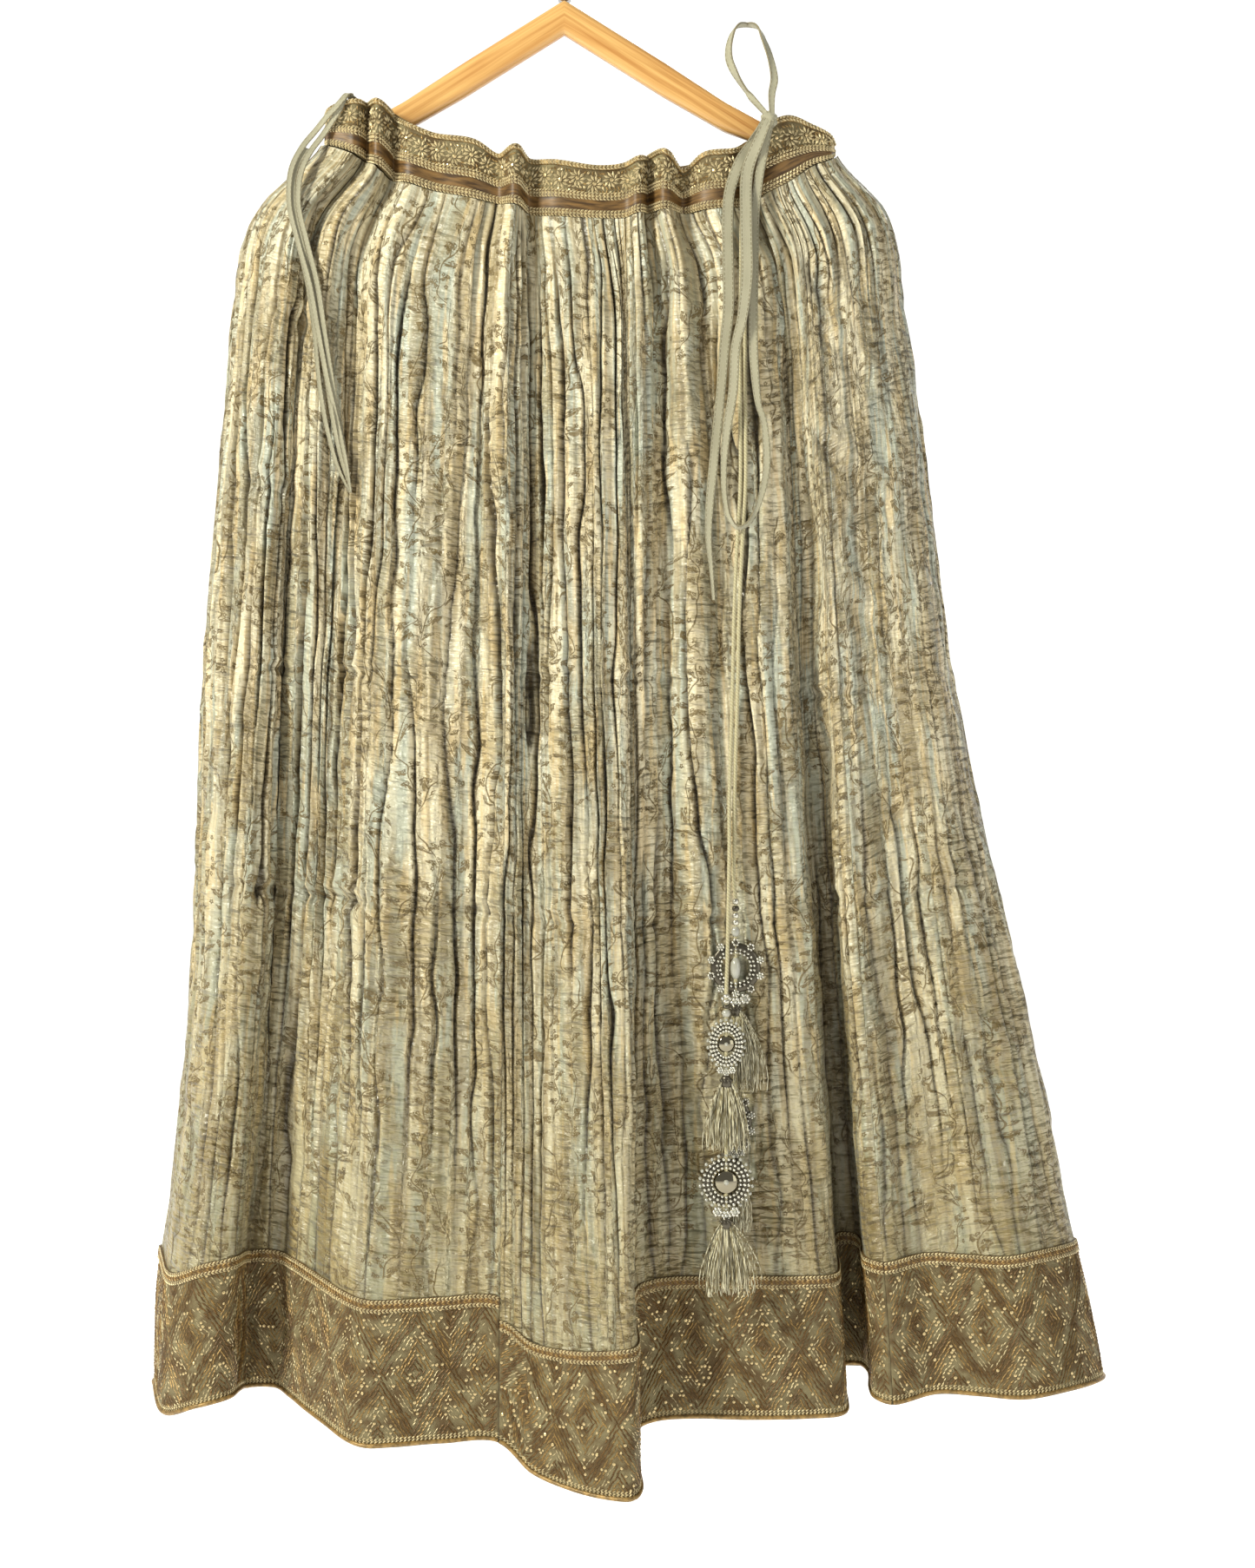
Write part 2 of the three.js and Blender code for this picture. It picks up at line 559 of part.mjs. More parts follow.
// Hanger: half of its wooden arms' outline, by distance from the middle
const ARM = table('x z height', [
  [0, -79, 28], [80, -129, 28], [129, -159, 24], [160, -173, 18], [186, -179, 13],
]);
const ARM_TIPS = { left: { x: 187.8, z: -173, height: 8 }, right: { x: 212.8, z: -182, height: 8 } };
const TIP_GAP = 3;
const WOOD = 12;
const WOOD_BEVEL = 1.5;

function hangerShape() {
  const side = (sign, tip) => [...ARM.filter((row) => row.x < tip.x - TIP_GAP), tip].map((row) => ({
    x: sign * row.x, up: row.z + row.height / 2, low: row.z - row.height / 2,
  }));
  const right = side(1, ARM_TIPS.right);
  const left = side(-1, ARM_TIPS.left).slice(1);
  const shape = new THREE.Shape();
  shape.moveTo(right[0].x, right[0].up);
  left.forEach((row) => shape.lineTo(row.x, row.up));
  left.reverse().forEach((row) => shape.lineTo(row.x, row.low));
  right.forEach((row) => shape.lineTo(row.x, row.low));
  right.slice(1).reverse().forEach((row) => shape.lineTo(row.x, row.up));
  shape.closePath();
  return shape;
}

function hangerWood() {
  const wood = new THREE.ExtrudeGeometry(hangerShape(), {
    depth: WOOD - 2 * WOOD_BEVEL, bevelThickness: WOOD_BEVEL, bevelSize: WOOD_BEVEL,
    bevelOffset: -WOOD_BEVEL, bevelSegments: 1,
  });
  wood.rotateX(Math.PI / 2);
  wood.translate(0, WOOD / 2 - WOOD_BEVEL, 0);
  return wood;
}

const HOOK_WIRE = 4;
const HOOK_SIDES = 6;
const HOOK_STEPS = 18;
const HOOK_ROUTE = [
  [-21, -12], [-19.5, -6.5], [-12, 0.2], [0, 2], [12, -3.5], [18, -14], [16.5, -25],
  [8, -33], [1.5, -41], [0, -50], [0, -64.6],
];

function hangerHook() {
  const points = HOOK_ROUTE.map(([x, z]) => new THREE.Vector3(x, 0, z));
  const wire = new THREE.Shape();
  for (let k = 0; k < HOOK_SIDES; k += 1) {
    const angle = 2 * Math.PI * (k + 0.5) / HOOK_SIDES;
    const move = k === 0 ? 'moveTo' : 'lineTo';
    wire[move](HOOK_WIRE / 2 * Math.cos(angle), HOOK_WIRE / 2 * Math.sin(angle));
  }
  wire.closePath();
  return new THREE.ExtrudeGeometry(wire, {
    steps: HOOK_STEPS, extrudePath: new THREE.CatmullRomCurve3(points),
  });
}

// Colours and finishes
const SATIN = { color: 0xb9b08f, roughness: 0.45 };
const BORDER = { color: 0x8f7a4e, roughness: 0.6 };
const BRAID = { color: 0xa68c55, roughness: 0.5, metalness: 0.3 };
const BROWN = { color: 0x5f4423, roughness: 0.55 };
const TIE = { color: 0xbdb48f, roughness: 0.6 };
const SILVER = { color: 0xb9b6ac, roughness: 0.3, metalness: 0.7 };
const FLOSS = { color: 0xb0a06c, roughness: 0.55 };
const WOODEN = { color: 0xd7a45c, roughness: 0.4 };
const STEEL = { color: 0xb5b5b5, roughness: 0.3, metalness: 0.9 };

const lehenga = new THREE.Group();

function add(name, geometry, finish, x = 0, y = 0, z = 0) {
  const mesh = new THREE.Mesh(geometry, new THREE.MeshStandardMaterial(finish));
  mesh.name = name;
  mesh.position.set(x, y, z);
  lehenga.add(mesh);
}

const trimOut = BAND_PROUD + LAYER_GAP + TRIM;

for (const panel of PANELS) {
  const all = panelColumns(panel);
  const smooth = smoothColumns(all);
  const seam = (i) => seamDown(panel, smooth, i);
  const lower = (i) => downAt(i, borderDepth(panel, i) - SEAM_GAP);
  add(`skirt_${panel.name}`, strip(all, SKIRT_ROWS,
    (i) => ({ top: 0, bottom: seam(i) }), 0, CLOTH, true), SATIN);
  add(`border_${panel.name}`, strip(smooth, BORDER_ROWS,
    (i) => ({ top: lower(i), bottom: 1 }), BAND_PROUD, BAND_WALL, false), BORDER);
  add(`border_braid_${panel.name}`, strip(smooth, BORDER_ROWS, (i) => ({
    top: lower(i), bottom: downAt(i, borderDepth(panel, i) - BRAID_HEIGHT),
  }), trimOut, TRIM, false), BRAID);
  add(`hem_piping_${panel.name}`, strip(smooth, BORDER_ROWS, (i) => ({
    top: downAt(i, PIPING_HEIGHT), bottom: 1,
  }), trimOut, TRIM, false), BRAID);
}

// Waistband pieces, front and back, parted at the sides
function bandStrip(run, heights, out, thick) {
  const e = run.length - 1;
  const ownSide = Math.sign(run[1].y - run[0].y) * SEAM_GAP / 2;
  const faceAt = (k) => {
    if (k === 0 || k === e) return new THREE.Vector3(Math.sign(run[k].x - MIDDLE), 0, 0);
    return new THREE.Vector3(run[k + 1].y - run[k - 1].y, run[k - 1].x - run[k + 1].x, 0).normalize();
  };
  const face = (offset) => ['high', 'low'].map((key) => run.map((p, k) => {
    const shift = k === 0 || k === e ? ownSide : 0;
    return new THREE.Vector3(p.x, p.y + shift, heights(p)[key]).addScaledVector(faceAt(k), offset);
  }));
  return wall(face(out), face(out - thick));
}

for (const [name, run] of [['front', waistFront], ['back', waistBack]]) {
  add(`waistband_${name}`, bandStrip(run, (p) => ({ high: p.top, low: p.bottom }),
    BAND_PROUD, BAND_WALL), BRAID);
  add(`waist_edging_${name}`, bandStrip(run, (p) => ({ high: p.top, low: p.top - EDGING_HEIGHT }),
    trimOut, TRIM), BRAID);
  add(`waist_stripe_${name}`, bandStrip(run, (p) => ({
    high: lerp(p.bottom, p.top - EDGING_HEIGHT, Math.min(0.9, STRIPE_HEIGHT / (p.top - p.bottom))),
    low: p.bottom,
  }), trimOut, TRIM), BROWN);
}

add('hang_tape_left', ribbon(HANG_TAPE), TIE);
const knot = turned([
  [0, -0.42], [0.6, -0.42], [1, -0.15], [1, 0.15], [0.6, 0.42], [0, 0.5],
].map(([r, h]) => [r * KNOT.radius, h * KNOT.height]), KNOT_SIDES);
knot.translate(KNOT.x, KNOT.y, KNOT.z);
add('tie_right', join([knot, ribbon(TIE_TAIL), ribbon(TIE_LOOP), ribbon(TIE_UP)]), TIE);
add('drawcord_near', cordGeometry(CORD_NEAR), TIE);
add('drawcord_far', cordGeometry(CORD_FAR), TIE);

// What hangs on each cord, from its end down
const CHAINS = [
  { side: 'near', x: 135, y: -68, z: -785, drops: [
    { beads: [2.2, 2.6, 3.2, 3.2, 3.2, 3.6] },
    { ring: { radius: 18, hole: 10, tall: 1, beads: 8, foot: 5 } },
    { tuft: { head: 4, length: 62, spread: 10, lean: 10, strands: 14 } },
    { ring: { radius: 12, hole: 7, tall: 1.45, beads: 7, foot: 4 } },
    { tuft: { head: 4, length: 52, spread: 9, lean: 2, strands: 10 } },
  ] },
  { side: 'far', x: 127, y: -84, z: -858, drops: [
    { beads: [3.2, 2.6, 2.6, 2.6] },
    { ring: { radius: 12, hole: 7, tall: 1.25, beads: 7, foot: 4 } },
    { tuft: { head: 4.5, length: 52, spread: 15, lean: 0, strands: 14 } },
    { ring: { radius: 17, hole: 10, tall: 1, beads: 8, foot: 5 } },
    { tuft: { head: 4.5, length: 54, spread: 23, lean: 2, strands: 18 } },
  ] },
];

for (const chain of CHAINS) {
  let z = chain.z;
  let rings = 0;
  let tufts = 0;
  for (const drop of chain.drops) {
    if (drop.beads) {
      const { geometry, height } = beadString(drop.beads);
      z -= height + LAYER_GAP;
      add(`bead_string_${chain.side}`, geometry, SILVER, chain.x, chain.y, z);
    } else if (drop.ring) {
      const geometry = medallion(drop.ring);
      geometry.computeBoundingBox();
      z -= geometry.boundingBox.max.z + LAYER_GAP;
      rings += 1;
      add(`medallion_${chain.side}_${rings}`, geometry, SILVER, chain.x, chain.y, z);
      z += geometry.boundingBox.min.z;
    } else {
      const geometry = tassel(drop.tuft);
      geometry.computeBoundingBox();
      z -= geometry.boundingBox.max.z + LAYER_GAP;
      tufts += 1;
      add(`tassel_${chain.side}_${tufts}`, geometry, FLOSS, chain.x, chain.y, z);
      z += geometry.boundingBox.min.z;
    }
  }
}

add('hanger_wood', hangerWood(), WOODEN);
add('hanger_hook', hangerHook(), STEEL);

export default lehenga;
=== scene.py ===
"""The looks of a crinkle-pleated lehenga on a wooden hanger.

Metres, +Z up, the skirt's front towards -Y, the origin at the inside top of the hook.
"""

import math

import bpy
import numpy as np
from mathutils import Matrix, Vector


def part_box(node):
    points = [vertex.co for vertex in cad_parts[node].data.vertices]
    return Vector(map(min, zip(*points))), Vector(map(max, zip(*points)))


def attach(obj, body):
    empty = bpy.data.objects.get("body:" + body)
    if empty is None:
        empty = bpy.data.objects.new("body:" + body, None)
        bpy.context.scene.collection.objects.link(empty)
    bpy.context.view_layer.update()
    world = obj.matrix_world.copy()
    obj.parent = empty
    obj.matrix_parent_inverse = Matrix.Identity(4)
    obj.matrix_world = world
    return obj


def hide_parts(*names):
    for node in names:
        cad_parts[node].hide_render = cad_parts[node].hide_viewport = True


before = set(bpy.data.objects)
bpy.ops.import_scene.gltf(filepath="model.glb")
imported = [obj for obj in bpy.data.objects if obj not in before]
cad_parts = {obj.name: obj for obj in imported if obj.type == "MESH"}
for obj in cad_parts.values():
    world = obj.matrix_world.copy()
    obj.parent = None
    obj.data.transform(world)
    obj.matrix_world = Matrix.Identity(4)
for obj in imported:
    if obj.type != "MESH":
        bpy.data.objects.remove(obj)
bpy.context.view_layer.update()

# Camera and stage
CAMERA_PLACE = (0.0508, -2.0, -0.6965)
LENS = 56.95
SENSOR = 36

camera_data = bpy.data.cameras.new("camera")
camera_data.lens = LENS
camera_data.sensor_width = SENSOR
camera = bpy.data.objects.new("camera", camera_data)
camera.location = CAMERA_PLACE
camera.rotation_euler = (math.radians(90), 0, 0)
bpy.context.scene.collection.objects.link(camera)
bpy.context.scene.camera = camera


def table(names, rows):
    """Named columns, each an array."""
    return dict(zip(names.split(), np.array(rows, float).T))


# The two cords' routes from under the knot, then down through their ornaments
CORD = 0.003
CORD_NEAR = table("x y z", [
    (0.1644, -0.0324, -0.1758), (0.1642, -0.0322, -0.178), (0.153, -0.026, -0.19),
    (0.147, -0.024, -0.214), (0.1455, -0.033, -0.238), (0.144, -0.046, -0.284),
    (0.143, -0.054, -0.345), (0.143, -0.059, -0.408), (0.143, -0.062, -0.462),
    (0.14, -0.063, -0.517), (0.138, -0.0635, -0.564), (0.137, -0.0645, -0.609),
    (0.136, -0.065, -0.647), (0.135, -0.0655, -0.677), (0.134, -0.066, -0.715),
    (0.134, -0.067, -0.745), (0.1335, -0.0675, -0.77), (0.135, -0.068, -0.785),
])
CORD_FAR = table("x y z", [
    (0.1606, -0.0324, -0.1758), (0.1604, -0.0322, -0.178), (0.149, -0.026, -0.19),
    (0.143, -0.024, -0.214), (0.1415, -0.033, -0.238), (0.14, -0.046, -0.284),
    (0.139, -0.054, -0.345), (0.139, -0.059, -0.408), (0.139, -0.0615, -0.462),
    (0.136, -0.062, -0.517), (0.134, -0.063, -0.564), (0.133, -0.0645, -0.609),
    (0.132, -0.065, -0.647), (0.131, -0.066, -0.677), (0.13, -0.068, -0.715),
    (0.13, -0.071, -0.745), (0.129, -0.076, -0.791), (0.128, -0.081, -0.831),
    (0.127, -0.084, -0.858),
])

# The waistband's scalloped run: a row for each of its folds, with the heights of its edges
WAIST_FRONT = table("x y top bottom", [
    (-0.192, 0, -0.158, -0.181), (-0.187, -0.011, -0.154, -0.184),
    (-0.175, -0.018, -0.151, -0.189), (-0.165, -0.021, -0.15, -0.194),
    (-0.158, -0.013, -0.15, -0.197), (-0.148, -0.025, -0.151, -0.204),
    (-0.137, -0.013, -0.158, -0.212), (-0.124, -0.023, -0.169, -0.217),
    (-0.104, -0.022, -0.177, -0.223), (-0.072, -0.022, -0.182, -0.229),
    (-0.052, -0.016, -0.192, -0.232), (-0.038, -0.025, -0.187, -0.235),
    (-0.029, -0.012, -0.194, -0.239), (-0.006, -0.02, -0.198, -0.243),
    (0.028, -0.021, -0.203, -0.245), (0.05, -0.02, -0.2, -0.244), (0.06, -0.024, -0.196, -0.241),
    (0.067, -0.013, -0.192, -0.239), (0.081, -0.025, -0.191, -0.239),
    (0.095, -0.013, -0.203, -0.239), (0.113, -0.024, -0.193, -0.239),
    (0.136, -0.024, -0.19, -0.237), (0.148, -0.014, -0.18, -0.232),
    (0.161, -0.025, -0.171, -0.226), (0.179, -0.024, -0.164, -0.216),
    (0.197, -0.017, -0.169, -0.202), (0.212, -0.01, -0.175, -0.195), (0.217, 0, -0.181, -0.189),
])
WAIST_BACK = table("x y top bottom", [
    (0.217, 0, -0.181, -0.189), (0.212, 0.01, -0.175, -0.195), (0.198, 0.018, -0.169, -0.203),
    (0.18, 0.022, -0.163, -0.214), (0.15, 0.022, -0.178, -0.228), (0.12, 0.016, -0.19, -0.236),
    (0.085, 0.024, -0.194, -0.241), (0.045, 0.022, -0.2, -0.245), (0.005, 0.015, -0.203, -0.246),
    (-0.035, 0.023, -0.196, -0.241), (-0.075, 0.022, -0.187, -0.234),
    (-0.11, 0.015, -0.18, -0.226), (-0.145, 0.022, -0.163, -0.21), (-0.172, 0.018, -0.152, -0.192),
    (-0.187, 0.011, -0.155, -0.184), (-0.192, 0, -0.158, -0.181),
])

# The hem, a row for each bend of its folds: its place, how far round the waist its cloth
# hangs from (0 to 1 along the front, 1 to 2 along the back), and the pleats to the next row
HEM = table("x y z waist pleats", [
    (-0.333, 0.02, -1.189, 0, 3), (-0.317, -0.025, -1.199, 0.035, 2),
    (-0.289, -0.048, -1.188, 0.06, 2), (-0.266, -0.042, -1.183, 0.08, 2),
    (-0.261, -0.014, -1.183, 0.095, 1), (-0.258, 0.01, -1.186, 0.105, 1),
    (-0.246, 0.006, -1.184, 0.12, 1), (-0.233, 0.01, -1.186, 0.135, 1),
    (-0.219, -0.01, -1.189, 0.15, 3), (-0.19, -0.048, -1.199, 0.19, 3),
    (-0.155, -0.084, -1.209, 0.25, 1), (-0.132, -0.084, -1.209, 0.275, 2),
    (-0.092, -0.076, -1.208, 0.325, 3), (-0.049, -0.074, -1.208, 0.385, 3),
    (-0.021, -0.088, -1.229, 0.42, 3), (0.008, -0.104, -1.237, 0.46, 2),
    (0.036, -0.117, -1.24, 0.505, 2), (0.054, -0.121, -1.24, 0.54, 1),
    (0.06, -0.11, -1.237, 0.548, 1), (0.058, -0.09, -1.226, 0.56, 2),
    (0.054, -0.07, -1.212, 0.575, 1), (0.058, -0.055, -1.203, 0.585, 1),
    (0.072, -0.046, -1.199, 0.6, 2), (0.104, -0.044, -1.197, 0.645, 2),
    (0.144, -0.052, -1.196, 0.7, 3), (0.193, -0.048, -1.196, 0.775, 2),
    (0.221, -0.038, -1.196, 0.82, 1), (0.226, -0.014, -1.192, 0.83, 1),
    (0.224, 0.03, -1.18, 0.845, 1), (0.23, 0.046, -1.176, 0.855, 1),
    (0.243, 0.046, -1.176, 0.865, 1), (0.249, 0.028, -1.178, 0.875, 1),
    (0.246, -0.014, -1.182, 0.888, 1), (0.248, -0.034, -1.184, 0.896, 1),
    (0.26, -0.045, -1.186, 0.905, 2), (0.297, -0.031, -1.181, 0.93, 2),
    (0.331, -0.034, -1.182, 0.95, 2), (0.365, -0.04, -1.183, 0.97, 2),
    (0.401, -0.027, -1.18, 0.985, 2), (0.434, 0.005, -1.179, 1, 2),
    (0.437, 0.044, -1.182, 1.03, 2), (0.415, 0.082, -1.186, 1.07, 2),
    (0.38, 0.096, -1.188, 1.12, 2), (0.345, 0.084, -1.186, 1.17, 2),
    (0.305, 0.082, -1.186, 1.22, 2), (0.268, 0.104, -1.19, 1.27, 2),
    (0.225, 0.12, -1.193, 1.33, 3), (0.178, 0.108, -1.191, 1.39, 2),
    (0.138, 0.09, -1.188, 1.45, 2), (0.095, 0.098, -1.19, 1.5, 2), (0.05, 0.124, -1.195, 1.56, 3),
    (0.003, 0.13, -1.196, 1.62, 2), (-0.038, 0.11, -1.193, 1.67, 2),
    (-0.078, 0.094, -1.19, 1.72, 2), (-0.12, 0.104, -1.192, 1.77, 2),
    (-0.165, 0.122, -1.195, 1.82, 3), (-0.21, 0.114, -1.193, 1.87, 2),
    (-0.25, 0.092, -1.19, 1.91, 2), (-0.288, 0.084, -1.189, 1.945, 2),
    (-0.32, 0.066, -1.188, 1.975, 2), (-0.337, 0.044, -1.188, 1.99, 1),
])
RIGHT_SIDE = 39

# How the cloth spreads on its way down
SPREAD = table("down left right depth pleat", [
    (0, 0, 0, 0, 0.0004), (0.045, 0.37, 0.194, 0.2, 0.0022), (0.075, 0.467, 0.23, 0.28, 0.0026),
    (0.15, 0.533, 0.273, 0.42, 0.003), (0.25, 0.59, 0.343, 0.54, 0.0032),
    (0.41, 0.679, 0.42, 0.68, 0.0032), (0.52, 0.715, 0.52, 0.75, 0.003),
    (0.64, 0.752, 0.648, 0.82, 0.0026), (0.76, 0.839, 0.778, 0.88, 0.002),
    (0.87, 0.94, 0.875, 0.94, 0.0005), (0.93, 0.985, 0.94, 0.97, 0), (1, 1, 1, 1, 0),
])

# Ties and tapes: a flat strip along its rows
HANG_TAPE = table("x z lift width slant turn", [
    (-0.167, -0.164, -0.0135, 0.009, 0, 0), (-0.168, -0.153, -0.0135, 0.009, 0, 0),
    (-0.169, -0.1482, -0.011, 0.009, 0, 0), (-0.171, -0.1468, -0.005, 0.009, 0, 0),
    (-0.1735, -0.148, -0.0008, 0.009, 0, 0), (-0.176, -0.152, -0.0002, 0.009, -16, 0),
    (-0.181, -0.159, 0.0008, 0.01, -38, 0), (-0.186, -0.165, 0.0024, 0.01, -40, 0),
    (-0.195, -0.176, 0.0036, 0.01, -35, 0), (-0.205, -0.191, 0.0036, 0.01, -28, 0),
    (-0.212, -0.21, 0.0036, 0.01, -14, 0), (-0.213, -0.238, 0.0036, 0.009, 5, 0),
    (-0.206, -0.268, 0.0036, 0.009, 14, 0), (-0.196, -0.304, 0.0036, 0.009, 15, 0),
    (-0.19, -0.34, 0.0036, 0.009, 10, 0), (-0.183, -0.38, 0.0036, 0.009, 12, 0),
    (-0.177, -0.41, 0.0036, 0.008, 12, 0), (-0.171, -0.441, 0.0036, 0.007, 12, 0),
    (-0.1675, -0.463, 0.0035, 0.004, 10, 0), (-0.167, -0.4665, 0.0024, 0.003, 10, 0),
    (-0.1685, -0.463, 0.0012, 0.004, 10, 0), (-0.176, -0.444, 0.0012, 0.007, 14, 0),
    (-0.183, -0.414, 0.0012, 0.008, 14, 0), (-0.188, -0.384, 0.0012, 0.008, 14, 0),
    (-0.193, -0.34, 0.0012, 0.008, 10, 0), (-0.199, -0.304, 0.0012, 0.008, 14, 0),
    (-0.208, -0.268, 0.0012, 0.008, 14, 0), (-0.214, -0.238, 0.0012, 0.008, 5, 0),
    (-0.213, -0.21, 0.0012, 0.008, -14, 0), (-0.205, -0.19, 0.0012, 0.008, -28, 0),
])
TIE_TAIL = table("x z lift width slant turn", [
    (0.16, -0.171, 0.0095, 0.007, 0, 0), (0.155, -0.18, 0.0095, 0.008, -8, 0),
    (0.148, -0.189, 0.006, 0.009, -18, 0), (0.14, -0.203, 0.0044, 0.011, -22, 0),
    (0.132, -0.226, 0.004, 0.011, -12, 0), (0.13, -0.25, 0.003, 0.011, 0, 0),
    (0.13, -0.286, 0.003, 0.011, 0, 0), (0.13, -0.324, 0.003, 0.011, 0, 0),
    (0.127, -0.352, 0.003, 0.01, -5, 0), (0.124, -0.388, 0.003, 0.009, -5, 0),
    (0.121, -0.418, 0.003, 0.009, -6, 0), (0.118, -0.447, 0.003, 0.009, -6, 0),
    (0.115, -0.478, 0.003, 0.008, 0, 0), (0.114, -0.504, 0.003, 0.006, 3, 0),
    (0.116, -0.528, 0.003, 0.004, 4, 0), (0.118, -0.553, 0.003, 0.003, 4, 0),
])
TIE_LOOP = table("x z lift width slant turn", [
    (0.162, -0.171, 0.0095, 0.008, 0, 0), (0.155, -0.187, 0.0105, 0.011, -14, 0),
    (0.146, -0.21, 0.012, 0.012, -8, 0), (0.144, -0.25, 0.014, 0.012, 0, 0),
    (0.144, -0.3, 0.012, 0.012, 0, 0), (0.14, -0.334, 0.012, 0.01, -8, 0),
    (0.135, -0.356, 0.011, 0.009, -8, 0), (0.133, -0.39, 0.01, 0.009, -6, 0),
    (0.128, -0.422, 0.009, 0.008, -6, 0), (0.126, -0.45, 0.008, 0.006, 0, 0),
    (0.127, -0.474, 0.0084, 0.005, 6, 20), (0.1305, -0.489, 0.009, 0.005, 30, 40),
    (0.137, -0.497, 0.0094, 0.005, 90, 50), (0.145, -0.4935, 0.008, 0.005, 120, 40),
    (0.151, -0.483, 0.0064, 0.005, 150, 20), (0.156, -0.468, 0.0054, 0.006, 165, 0),
    (0.159, -0.452, 0.0054, 0.007, 180, 0), (0.159, -0.431, 0.0054, 0.007, 184, 0),
    (0.157, -0.413, 0.0054, 0.006, 190, 0), (0.153, -0.4, 0.0054, 0.006, 190, 0),
    (0.1505, -0.379, 0.0054, 0.008, 186, 0), (0.149, -0.352, 0.007, 0.009, 180, 0),
    (0.149, -0.324, 0.0075, 0.009, 180, 0), (0.15, -0.284, 0.0075, 0.009, 178, 0),
    (0.151, -0.25, 0.009, 0.009, 176, 0), (0.155, -0.215, 0.007, 0.009, 172, 0),
    (0.16, -0.19, 0.006, 0.008, 172, 0), (0.164, -0.171, 0.0095, 0.007, 180, 0),
])
TIE_UP = table("x z lift width slant turn", [
    (0.161, -0.167, 0.008, 0.005, 0, 20), (0.146, -0.148, 0.007, 0.007, -50, 15),
    (0.136, -0.134, 0.006, 0.008, -35, 20), (0.131, -0.121, 0.006, 0.008, -10, 30),
    (0.132, -0.108, 0.006, 0.007, 15, 45), (0.137, -0.097, 0.006, 0.007, 40, 70),
    (0.146, -0.092, 0.006, 0.007, 90, 80), (0.154, -0.097, 0.006, 0.007, 140, 70),
    (0.159, -0.108, 0.006, 0.007, 165, 45), (0.164, -0.122, 0.006, 0.007, 168, 30),
    (0.167, -0.138, 0.006, 0.008, 185, 20), (0.165, -0.15, 0.007, 0.007, 195, 15),
    (0.165, -0.167, 0.008, 0.005, 180, 20),
])

# Half of the wooden arms' outline
ARM = table("x z height", [
    (0, -0.079, 0.028), (0.08, -0.129, 0.028), (0.129, -0.159, 0.024), (0.16, -0.173, 0.018),
    (0.186, -0.179, 0.013),
])

# Cloth, seams and trims
SEAM_GAP = 0.0003
WAIST_GAP = 0.0007
BORDER_HEIGHT = 0.114
BRAID_HEIGHT = 0.009
STRIPE_HEIGHT = 0.02
BORDER_THICK = 0.0014
BAND_THICK = 0.0016
BAND_PROUD = 0.0004
BRAID_PROUD = 0.0012
STRIPE_PROUD = 0.001

# Shape of the skirt
MIDDLE = 0.05
HALF_WIDTH = 0.388
FULLNESS = 0.075
FOLD_POWER = 1.6
COLUMNS_PER_PLEAT = 12
CLOTH_ROWS = 180
BORDER_ROWS = 14

# Each panel's first and last row of the hem, and how much shallower its border starts
DROP_LENGTH = 0.11
PANELS = {"left": (55, 74, 0), "middle": (13, 34, 0.018), "right": (34, 55, 0)}

# Columns on each side that tell which way the cloth faces, pleated or smooth
PLEATED_REACH = 5
SMOOTH_REACH = 3

# How much deeper the waistband's folds are than its solids', and how far round they count
FOLD_MORE = 0.4
FOLD_REACH = 26

# Hollows of the hem, which get painted shade: how far round they are judged, and how deep the
# darkest are
HOLLOW_REACH = 42
HOLLOW_DEPTH = 0.022

# Where the front's right side is nearly smooth: from this far right, and at these shares down
CALM_START = 0.19
CALM_FADE = 0.06
CALM_HEIGHTS = (0.04, 0.12, 0.5, 0.62)

# How the pleats wander from their lines: size, changes along and down, and seed
DRIFTS = ((1, 0.8, 5, 1), (0.6, 0.7, 11, 2), (0.36, 0.9, 27, 12))

# A pleat's form, in shares of its width and depth
DEEPER = 1.2
STEEP_SIDE = 0.05
SLACK_SIDE = 0.12
VALLEY_OPEN = (0.05, 1.4)
LIP_PLACE = 0.21
LIP_WIDTH = 0.07
CROWN = 0.2
LIP = 0.4
LEAN = 4
SECOND = 0.7
RISE = 0.7
GROOVE = 1.35

# Creases crushed across the pleats, and the slack swells low down
CRUSH = 0.0019
FACET = 0.008
SMALL_FACET = 0.004
SWELL = 0.005


def smooth(values, reach, closed=False):
    """A running mean of a line of values, held at both ends or running round."""
    padded = np.pad(values, reach, mode="wrap" if closed else "edge")
    return np.convolve(padded, np.ones(2 * reach + 1) / (2 * reach + 1), mode="valid")


def noise(x, y, seed):
    """Soft uneven values from 0 to 1 over a plane, the same each time."""
    x, y = np.broadcast_arrays(np.asarray(x, float), np.asarray(y, float))
    x0, y0 = np.floor(x), np.floor(y)
    fx, fy = x - x0, y - y0
    fx, fy = fx * fx * (3 - 2 * fx), fy * fy * (3 - 2 * fy)

    def corner(a, b):
        wave = np.sin(a * 12.9898 + b * 78.233 + seed * 37.719) * 43758.5453
        return wave - np.floor(wave)

    low = corner(x0, y0) * (1 - fx) + corner(x0 + 1, y0) * fx
    high = corner(x0, y0 + 1) * (1 - fx) + corner(x0 + 1, y0 + 1) * fx
    return low * (1 - fy) + high * fy


def layered(layers, x, y):
    """Noises over one another, round nothing. Each has a size, two scales and a seed."""
    return sum(size * (noise(x * wide, y * tall, seed) - 0.5) for size, wide, tall, seed in layers)


